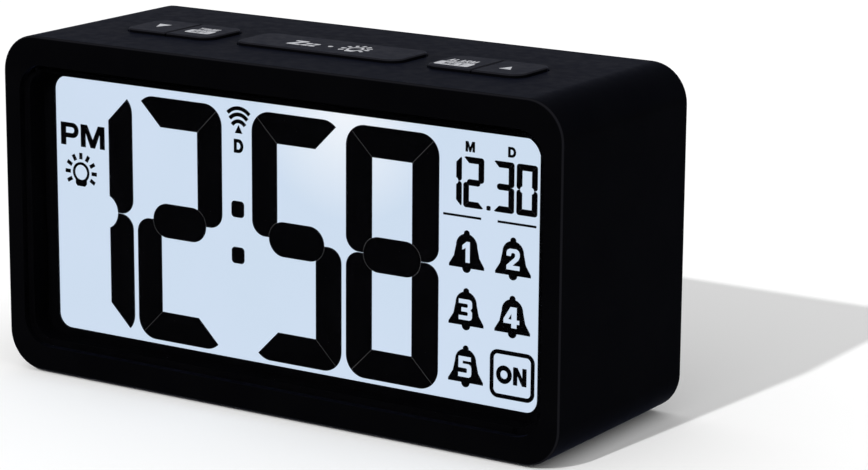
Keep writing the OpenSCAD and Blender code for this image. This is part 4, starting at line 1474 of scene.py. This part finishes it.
@dataclass(frozen=True)
class DigitRow:
    """Equal seven-segment digits in a row.

    Rise is how far their middle lies above the middle of the time, and bar is the size of the
    segment in their middle. A joint gives a digit's middle along X, the quarters in which two of its
    segments meet, and whether it shows its bar.
    """

    rise: float
    size: Flat
    stroke: float
    corner: float
    bar: Flat
    gap: float
    joints: tuple[tuple[float, Sequence[Flat], bool], ...]

    def hairlines(self, z: float) -> list[Contour]:
        """Gives the lines where two segments meet, at the corners and at the bar.

        Args:
            z: height of the time's middle in mm.

        Returns:
            The outlines of the lines in mm.
        """
        half_w, half_h = self.size[0] / 2, self.size[1] / 2
        start, end, side = self.corner * (1 - SLANT), self.stroke, self.gap / 2 * SLANT
        corner = [(half_w - t + s * side, half_h - t - s * side)
                  for t, s in ((start, 1), (start, -1), (end, -1), (end, 1))]
        bar_r = self.bar[1] / 2
        reach = math.degrees(math.acos((half_w - self.stroke - self.bar[0] / 2 + bar_r) / bar_r))
        bend = ring((self.bar[0] / 2 - bar_r, 0), bar_r + self.gap, bar_r, BEND_FROM, reach)
        return [contour for x, quarters, barred in self.joints for turn in quarters
                for contour in fitted([corner, bend] if barred else [corner], (x, z + self.rise), turn)]


@dataclass
class Display:
    """What the display shows beside its digits, printed on the front of the cell."""

    digits: Extent = Extent.of("lcd_segments")
    numeral_film: float = 0.02
    fringe_film: float = 0.06
    letters: tuple[tuple[str, Flat, Flat], ...] = (
        ("P", (-57.9, 48.4), (-53.2, 53.2)), ("M", (-52.6, 48.4), (-46.3, 53.2)),
        ("D", (-13.05, 51.9), (-10.7, 54.75)), ("m", (42.05, 58.7), (44.15, 60.75)),
        ("D", (51.6, 58.7), (53.35, 60.75)), ("O", (49.5, 13.85), (53.05, 17.55)),
        ("N", (53.35, 13.95), (56.35, 17.55)),
    )
    lamp: Flat = (-52.7, 42.9)
    waves: tuple[tuple[float, float, float], ...] = ((57.35, 3.74, 46), (56.95, 2.86, 49), (56.5, 1.92, 55))
    wave_x: float = -11.85
    wave_line: float = 0.8
    arrow: Flat = (55.95, 57.65)
    arrow_w: float = 1.85
    bells: tuple[tuple[str, float, float, float, float], ...] = (
        ("1", 42.5, 35.7, -0.95, 0.75), ("2", 53.0, 35.7, -1.45, 1.5), ("3", 42.5, 24.2, -1.65, 1.4),
        ("4", 53.0, 24.2, -1.95, 1.6), ("5", 42.5, 12.7, -1.65, 1.35),
    )
    numeral_rise: float = 1.1
    numeral_h: float = 4.15
    rows: tuple[DigitRow, ...] = (
        DigitRow(rise=0.0, size=(21.8, digits.top - digits.base), stroke=6.2, corner=4.4, bar=(13.5, 7.2),
                 gap=0.1,
                 joints=((-27.0, QUARTERS[:2], True), (2.3, QUARTERS[2:], True), (25.2, QUARTERS, True))),
        DigitRow(rise=17.3, size=(4.65, 10.0), stroke=1.25, corner=0.625, bar=(3.025, 1.25), gap=0.05,
                 joints=((43.95, QUARTERS[:2], True), (50.72, QUARTERS[::3], True), (55.9, QUARTERS, False))),
    )

    def build(self) -> None:
        """Builds the dark signs, the hairlines and the pale numerals in the bells."""
        front, back = self.digits.front, self.digits.back
        for name, outlines, start, film, slot, finish in (
            ("display_signs", self.signs(), front, back - front, "segment_black", SEGMENT_BLACK),
            ("segment_hairlines", self.hairlines(), back - self.fringe_film, self.fringe_film,
             "segment_black", SEGMENT_FRINGE),
            ("bell_numerals", self.numerals(), front - self.numeral_film, self.numeral_film, "display_glass",
             DISPLAY_GLASS),
        ):
            settle(printed(name, outlines, Axis.Y, start + film / 2, film), "case", slot, finish)

    def signs(self) -> list[Contour]:
        """Gives the outlines of the letters, the lamp, the radio waves and their arrow.

        Returns:
            The outlines in mm.
        """
        x, half = self.wave_x, self.wave_line / 2
        outlines = [ring((x, z), r + half, r - half, QUARTER_TURN - lean, QUARTER_TURN + lean)
                    for z, r, lean in self.waves]
        base, tip = self.arrow
        outlines.append([(x - self.arrow_w / 2, base), (x + self.arrow_w / 2, base), (x, tip)])
        for sign, low, high in self.letters:
            outlines += glyph(sign, low, high)
        return outlines + fitted(LAMP_SIGN, self.lamp)

    def numerals(self) -> list[Contour]:
        """Gives the numerals in the bells, each between its own left and right of the bell's middle.

        Returns:
            Their outlines in mm.
        """
        outlines = []
        for sign, x, base, left, right in self.bells:
            low = base + self.numeral_rise
            outlines += glyph(sign, (x + left, low), (x + right, low + self.numeral_h))
        return outlines

    def hairlines(self) -> list[Contour]:
        """Gives the hairlines of the time's and the date's digits."""
        return [contour for row in self.rows for contour in row.hairlines(self.digits.middle.z)]


@dataclass
class RearCover:
    """The rear cover with its battery compartment, sound slots and screws."""

    case: Extent = Extent.of("front_case")
    plate: Extent = Extent.of("rear_cover")
    door: Extent = Extent.of("battery_door")
    disc: Extent = Extent.of("sounder_disc")
    screws: Extent = Extent.of("cover_screws")
    corner: float = 5.4
    rim: float = 0.3
    door_gap: float = 0.3
    well_wall: float = 1.4
    ring_r: float = 15.1
    ring_l: float = 4.0
    seat_r: float = 13.7
    bore_r: float = 12.6
    slot_w: float = 1.6
    slot_h: float = 14.0
    slot_pitch: float = 3.6
    slots: int = 5
    hole_r: float = 1.38
    sink_r: float = 2.48
    sink: float = 1.4
    edge_r: float = 0.2
    scoop_r: float = 9.0
    scoop: float = 0.9
    socket_r: float = 0.8
    socket_l: float = 1.7
    head_r: float = 2.4
    dome: float = 0.4
    shank_r: float = 1.3
    cross: Flat = (0.75, 2.9)
    cross_in: float = 0.7

    def build(self) -> None:
        """Builds the cover and its screws."""
        settle(cleaned(self.cover()), "case", "case_plastic", REAR_PLASTIC, "rear_cover")
        places = self.places()
        screws = spread("cover_screw_set", cleaned(self.screw(places[0])), Axis.Y, places)
        settle(screws, "case", "dark_steel", DARK_STEEL, "cover_screws")

    def places(self) -> list[Flat]:
        """Gives the middles of the four screws."""
        return self.case.corners(Axis.Y, SCREW_INSET)

    @property
    def inside(self) -> float:
        """Depth of the plate's inner face."""
        return self.plate.back - WALL

    def cover(self) -> Piece:
        """Makes the plate, then adds the compartment and the sounder's ring, then makes the cuts.

        Returns:
            The cover as a mesh object.
        """
        plate = self.plate
        cover = rounded_block("rear_plate", (plate.left, self.inside, plate.base),
                              (plate.right, plate.back, plate.top), Axis.Y, self.corner)
        soften(cover, in_plane(Axis.Y, plate.back), self.rim)
        low = Vector((Extent.of("positive_contact").left, Extent.of("link_contact").front,
                      Extent.of("cell_lower").base - self.door_gap))
        high = Vector((Extent.of("link_contact").right, plate.back, self.door.top + self.door_gap))
        grow = Vector((self.well_wall,) * 3)
        act(cover, Join.WELD, block("tub", low - grow, high + grow - Vector((0, self.well_wall + OVER, 0))))
        self.sounder_ring(cover)
        act(cover, Join.CUT, block("well", low, high + Vector((0, OVER, 0))))
        self.sound_slots(cover)
        self.screw_holes(cover)
        soften(cover, self.on_slot_or_sink, self.edge_r, FINE_STEPS - 1)
        scoop = ((low.x + high.x) / 2, plate.back - self.scoop + self.scoop_r, high.z - self.scoop_r / 2)
        act(cover, Join.CUT, rod("scoop", scoop, self.scoop_r, self.scoop_r, Axis.Z))
        for start in (low.x - self.socket_l, high.x - LAP):
            end = start + self.socket_l + LAP
            act(cover, Join.CUT, *rods([hinge_axis()], start, end, self.socket_r, Axis.X, SMALL_SIDES))
        return cover

    def sounder_ring(self, cover: Piece) -> None:
        """Adds the ring that holds the sounder, with its seat and the room behind the disc.

        Args:
            cover: the cover.
        """
        x, _, z = self.disc.middle
        start = self.inside - self.ring_l
        act(cover, Join.WELD, *rods([(x, z)], start, self.inside + LAP, self.ring_r, Axis.Y))
        for end, radius in ((self.disc.back, self.seat_r), (self.inside, self.bore_r)):
            act(cover, Join.CUT, *rods([(x, z)], start - OVER, end, radius, Axis.Y))

    def sound_slots(self, cover: Piece) -> None:
        """Cuts the row of upright slots behind the sounder.

        Args:
            cover: the cover.
        """
        x, _, z = self.disc.middle
        half_w, half_h = self.slot_w / 2, self.slot_h / 2
        middles = [x + (i - (self.slots - 1) / 2) * self.slot_pitch for i in range(self.slots)]
        start, end = self.inside - OVER, self.plate.back + OVER
        for m in middles:
            low, high = (m - half_w, start, z - half_h), (m + half_w, end, z + half_h)
            act(cover, Join.CUT, rounded_block("slot", low, high, Axis.Y, half_w - NEAR))

    def screw_holes(self, cover: Piece) -> None:
        """Cuts the screws' holes and the sinks for their heads."""
        for start, radius in ((self.inside - OVER, self.hole_r), (self.plate.back - self.sink, self.sink_r)):
            act(cover, Join.CUT, *rods(self.places(), start, self.plate.back + OVER, radius, Axis.Y))

    def on_slot_or_sink(self, at: Vector, way: Vector) -> bool:
        """Tells whether an edge is the outer edge of a sound slot or of a screw's sink.

        Args:
            at: the edge's middle in mm.
            way: its direction.

        Returns:
            True if it is.
        """
        if not in_plane(Axis.Y, self.plate.back)(at, way):
            return False
        x, _, z = self.disc.middle
        half = self.slot_pitch * (self.slots - 1) / 2 + self.slot_w
        in_slots = abs(at.x - x) < half and abs(at.z - z) < self.slot_h / 2 + NEAR
        sinks = (math.hypot(at.x - px, at.z - pz) for px, pz in self.places())
        return in_slots or any(away < self.sink_r + NEAR for away in sinks)

    def screw(self, at: Flat) -> Piece:
        """Makes one screw with a domed head and a cross recess.

        Args:
            at: its middle seen along Y, in mm.

        Returns:
            The screw as a mesh object.
        """
        x, z = at
        seat, top, tip = self.plate.back - self.sink, self.screws.back, self.screws.front
        screw = rod("cover_screw", (x, seat, z), top - seat, self.head_r, Axis.Y)
        soften(screw, in_plane(Axis.Y, top), self.dome, FINE_STEPS + 1)
        act(screw, Join.WELD, *rods([at], tip, seat + self.dome, self.shank_r, Axis.Y, SMALL_SIDES))
        floor, w, l = top - self.cross_in, self.cross[0] / 2, self.cross[1] / 2
        for dx, dz in ((w, l), (l, w)):
            act(screw, Join.CUT, block("cross", (x - dx, floor, z - dz), (x + dx, top + OVER, z + dz)))
        return screw


@dataclass
class BatteryDoor:
    """The battery door with its pivots and its spring tongue."""

    box: Extent = Extent.of("battery_door")
    thick: float = 2.0
    rim: float = 0.3
    roll_r: float = 1.4
    pivot_r: float = 0.7
    pivot_l: float = 1.7
    tongue_w: float = 12.0
    tongue_l: float = 8.0
    slit: float = 0.8
    dip: float = 0.6
    ridges: int = 3
    ridge_from: float = 0.9
    ridge_pitch: float = 1.1
    ridge_r: float = 0.28
    ridge_end: float = 1.5

    def build(self) -> None:
        """Builds the door and puts it on its hinge."""
        box, (y, z) = self.box, hinge_axis()
        left, right = box.left + self.pivot_l, box.right - self.pivot_l
        door = block("door_panel", (left, box.back - self.thick, z), (right, box.back, box.top))
        outside = in_plane(Axis.Y, box.back)
        soften(door, lambda at, way: outside(at, way) and at.z > z + NEAR, self.rim)
        act(door, Join.WELD, *rods([(y, z)], left, right, self.roll_r, Axis.X))
        act(door, Join.WELD, *rods([(y, z)], box.left, box.right, self.pivot_r, Axis.X, SMALL_SIDES))
        self.tongue(door)
        settle(cleaned(door), "door", "case_plastic", REAR_PLASTIC, "battery_door")

    def tongue(self, door: Piece) -> None:
        """Frees the spring tongue by two slits, dips it and adds its ridges.

        Args:
            door: the door.
        """
        box, edge, reach = self.box, self.tongue_w / 2, self.tongue_w / 2 + self.slit
        x, _, _ = box.middle
        inner, floor, outer = box.back - self.thick - OVER, box.back - self.dip, box.back + OVER
        root, low, end = box.top - self.tongue_l, box.top - self.tongue_l / 2, box.top + OVER
        for start in (x - reach, x + edge):
            act(door, Join.CUT, block("slit", (start, inner, root), (start + self.slit, outer, end)))
        act(door, Join.CUT, block("dip", (x - reach, floor, low), (x + reach, outer, end)))
        places = [(floor, low + self.ridge_from + i * self.ridge_pitch) for i in range(self.ridges)]
        half = edge - self.ridge_end
        act(door, Join.WELD, *rods(places, x - half, x + half, self.ridge_r, Axis.X, TINY_SIDES))


@dataclass
class PowerPack:
    """The two cells with their springs and leads."""

    radius: float = 7.1
    length: float = 48.6
    edge_r: float = 0.5
    crimp: Flat = (1.2, 0.3)
    base_crimp: Flat = (1.0, 0.25)
    bare_r: float = 6.5
    button_r: float = 2.6
    button_h: float = 1.6
    button_edge: float = 0.35
    band: Flat = (2.0, 11.0)
    spring_r: Flat = (4.2, 2.6)
    spring_wire: float = 0.35
    spring_gap: float = 0.05
    spring_l: float = 5.4
    turns: int = 3
    turn_steps: int = 32
    wire_rounding: int = 4
    wire_steps: int = 8
    lead_r: float = 0.6
    lead_end: float = 2.0
    lead_shift: Flat = (4.0, 4.0)

    def build(self) -> None:
        """Builds the cells, the springs and the leads."""
        upper, lower = self.cell("upper", -1), self.cell("lower", 1)
        coils = [self.coil(Extent.of("negative_contact").right, 1, lower),
                 self.coil(Extent.of("link_contact").left, -1, upper)]
        settle(joined("spring_coils", coils), "case", "bright_steel", BRIGHT_STEEL, "contact_springs")
        shift, board, middle = self.lead_shift, Extent.of("main_board").back, (upper.z + lower.z) / 2
        for side, slot, finish, cell, way in (("positive", "red_wire", RED_WIRE, upper, 1),
                                              ("negative", "black_wire", BLACK_WIRE, lower, -1)):
            contact = Extent.of(f"{side}_contact")
            tab = Vector((contact.middle.x, contact.front, cell.z))
            pad = Vector((tab.x - shift[0], board, middle + way * shift[1]))
            out = Vector((0, self.lead_end, 0))
            points = [tab, tab - out, (tab + pad) / 2, pad + out, pad]
            settle(self.wire(f"{side}_lead_wire", points, self.lead_r), "case", slot, finish, f"{side}_lead")

    def cell(self, name: str, way: int) -> Vector:
        """Builds one cell with its sleeve, crimped ends and button.

        Args:
            name: upper or lower.
            way: -1 if the button is at the left end, 1 if at the right.

        Returns:
            The middle of the cell's left end, without the button.
        """
        box = Extent.of(f"cell_{name}")
        start = Vector((box.left + (self.button_h if way < 0 else 0), box.middle.y, box.base + self.radius))
        can = rod(f"cell_{name}_can", start, self.length, self.radius, Axis.X)
        soften(can, lambda p, d: abs(d.x) < ACROSS, self.edge_r)
        (ring_w, ring_in), (base_w, base_in) = self.crimp, self.base_crimp
        shoulder, rise = self.radius - self.edge_r - ring_w - self.button_r, (self.button_h + ring_in) * way
        edit(can, Element.FACES, facing(Axis.X, way), inset(ring_w), push((-ring_in * way, 0, 0)),
             inset(shoulder), push((rise, 0, 0)))
        edit(can, Element.FACES, facing(Axis.X, -way), inset(base_w), push((base_in * way, 0, 0)))
        soften(can, in_plane(Axis.X, box.left if way < 0 else box.right), self.button_edge)
        cleaned(can)
        first = start.x + (self.band[0] if way < 0 else self.length - sum(self.band))
        sleeve = replace(CELL_SLEEVE, name=f"{CELL_SLEEVE.name}_{name}", band_from=first,
                         band_to=first + self.band[1])
        settle(can, "case", "cell_jacket", sleeve, f"cell_{name}")
        paint(can, BRIGHT_STEEL, lambda p, n: math.hypot(p.y - start.y, p.z - start.z) < self.bare_r)
        sleeve.dress(frame["nodes"][f"cell_{name}"])
        return start

    def coil(self, base: float, way: int, cell: Vector) -> Piece:
        """Makes one conical spring, wide at its contact.

        Args:
            base: the contact's face in mm along X.
            way: 1 if the spring points to the right, -1 to the left.
            cell: a point on the cell's axis in mm.

        Returns:
            The coil as a mesh object.
        """
        steps, start = self.turns * self.turn_steps, self.spring_wire + self.spring_gap
        run, (wide, narrow) = self.spring_l - 2 * start, self.spring_r
        points = []
        for i in range(steps + 1):
            share, turn = i / steps, 2 * math.pi * i / self.turn_steps
            r = wide + (narrow - wide) * share
            points.append(Vector((base + way * (start + run * share), cell.y + r * math.cos(turn),
                                  cell.z + r * math.sin(turn))))
        return self.wire("coil", points, self.spring_wire)

    def wire(self, name: str, points: Sequence[Vector], radius: float) -> Piece:
        """Makes a round wire along points in mm, with closed ends.

        Args:
            name: the object's name.
            points: its course in mm.
            radius: its radius in mm.

        Returns:
            The wire as a mesh object.
        """
        curve = bpy.data.curves.new(name, "CURVE")
        curve.dimensions = "3D"
        curve.bevel_depth = radius * MM
        curve.bevel_resolution = self.wire_rounding
        curve.use_fill_caps = True
        curve.resolution_u = self.wire_steps
        spline = curve.splines.new("BEZIER")
        spline.bezier_points.add(len(points) - 1)
        for knot, point in zip(spline.bezier_points, points):
            knot.co = point * MM
            knot.handle_left_type = knot.handle_right_type = "AUTO"
        return meshed(name, curve)


@dataclass
class Feet:
    """The four round rubber feet."""

    case: Extent = Extent.of("front_case")
    box: Extent = Extent.of("rubber_feet")
    radius: float = 4.5
    rim: float = 0.35
    groove_in: float = 1.2
    groove_w: float = 0.4
    groove: float = 0.15

    def build(self) -> None:
        """Builds one foot and copies it to the other corners."""
        box, places = self.box, self.case.corners(Axis.Z, FOOT_INSET)
        foot = rod("foot_pads", (*places[0], box.base), box.top - box.base, self.radius, Axis.Z)
        soften(foot, in_plane(Axis.Z, box.base), self.rim)
        edit(foot, Element.FACES, facing(Axis.Z, -1), inset(self.groove_in), inset(self.groove_w),
             push((0, 0, self.groove)))
        feet = spread("foot_pads", cleaned(foot), Axis.Z, places)
        settle(feet, "case", "foot_rubber", FOOT_RUBBER, "rubber_feet")


@dataclass
class Studio:
    """Camera, floor and light."""

    eye: Point = (349.26, -507.82, 179.99)
    yaw: float = -32.6714
    pitch: float = 13.4025
    roll: float = -0.407
    focal_px: float = 3082.7
    image_w: float = 868.0
    sensor: float = 36.0
    clip: float = 10.0
    floor_half: float = 6000.0
    sky: float = 0.8
    sun: float = 2.2
    sun_height: float = 35.4
    sun_turn: float = -5.0
    sun_spread: float = 1.2

    def build(self) -> None:
        """Sets up the view and the light."""
        self.camera()
        self.floor()
        self.light()
        bpy.context.scene.view_settings.view_transform = "Standard"

    def camera(self) -> None:
        """Puts the camera where the photograph was taken from."""
        yaw, pitch, roll = (math.radians(a) for a in (self.yaw, self.pitch, self.roll))
        ahead = Vector((math.sin(yaw) * math.cos(pitch), math.cos(yaw) * math.cos(pitch), -math.sin(pitch)))
        level = Vector((math.cos(yaw), -math.sin(yaw), 0))
        plumb = ahead.cross(level)
        right = level * math.cos(roll) + plumb * math.sin(roll)
        down = plumb * math.cos(roll) - level * math.sin(roll)
        bpy.ops.object.camera_add()
        camera = bpy.context.object
        camera.name = "photo_camera"
        turn = Matrix((right, -down, -ahead)).transposed().to_4x4()
        camera.matrix_world = Matrix.Translation(Vector(self.eye) * MM) @ turn
        camera.data.sensor_fit = "HORIZONTAL"
        camera.data.sensor_width = self.sensor
        camera.data.lens = self.focal_px / self.image_w * self.sensor
        camera.data.clip_start = self.clip * MM
        bpy.context.scene.camera = camera

    def floor(self) -> None:
        """Lays the pale floor."""
        bpy.ops.object.select_all(action="DESELECT")
        bpy.ops.mesh.primitive_plane_add(size=2 * self.floor_half * MM)
        floor = placed("studio_floor")
        STUDIO_PAPER.dress(floor)

    def light(self) -> None:
        """Sets an even sky and one soft lamp from the front."""
        world = bpy.data.worlds.new("even_sky")
        bpy.context.scene.world = world
        world.use_nodes = True
        sky = world.node_tree.nodes["Background"]
        sky.inputs["Color"].default_value = linear(WHITE)
        sky.inputs["Strength"].default_value = self.sky
        bpy.ops.object.light_add(type="SUN")
        lamp = bpy.context.object
        lamp.name = "front_lamp"
        lamp.rotation_euler = (math.radians(QUARTER_TURN - self.sun_height), 0, math.radians(self.sun_turn))
        lamp.data.energy = self.sun
        lamp.data.angle = math.radians(self.sun_spread)


def main() -> None:
    """Builds the clock and its studio."""
    logging.basicConfig(level=logging.INFO, format="%(name)s: %(message)s")
    Studio().build()
    for finish, names in NODE_FINISHES:
        for name in names:
            finish.dress(frame["nodes"][name])
    for part in (Housing(), KeyRow(), Display(), RearCover(), BatteryDoor(), PowerPack(), Feet()):
        part.build()


if __name__ == "__main__":
    main()
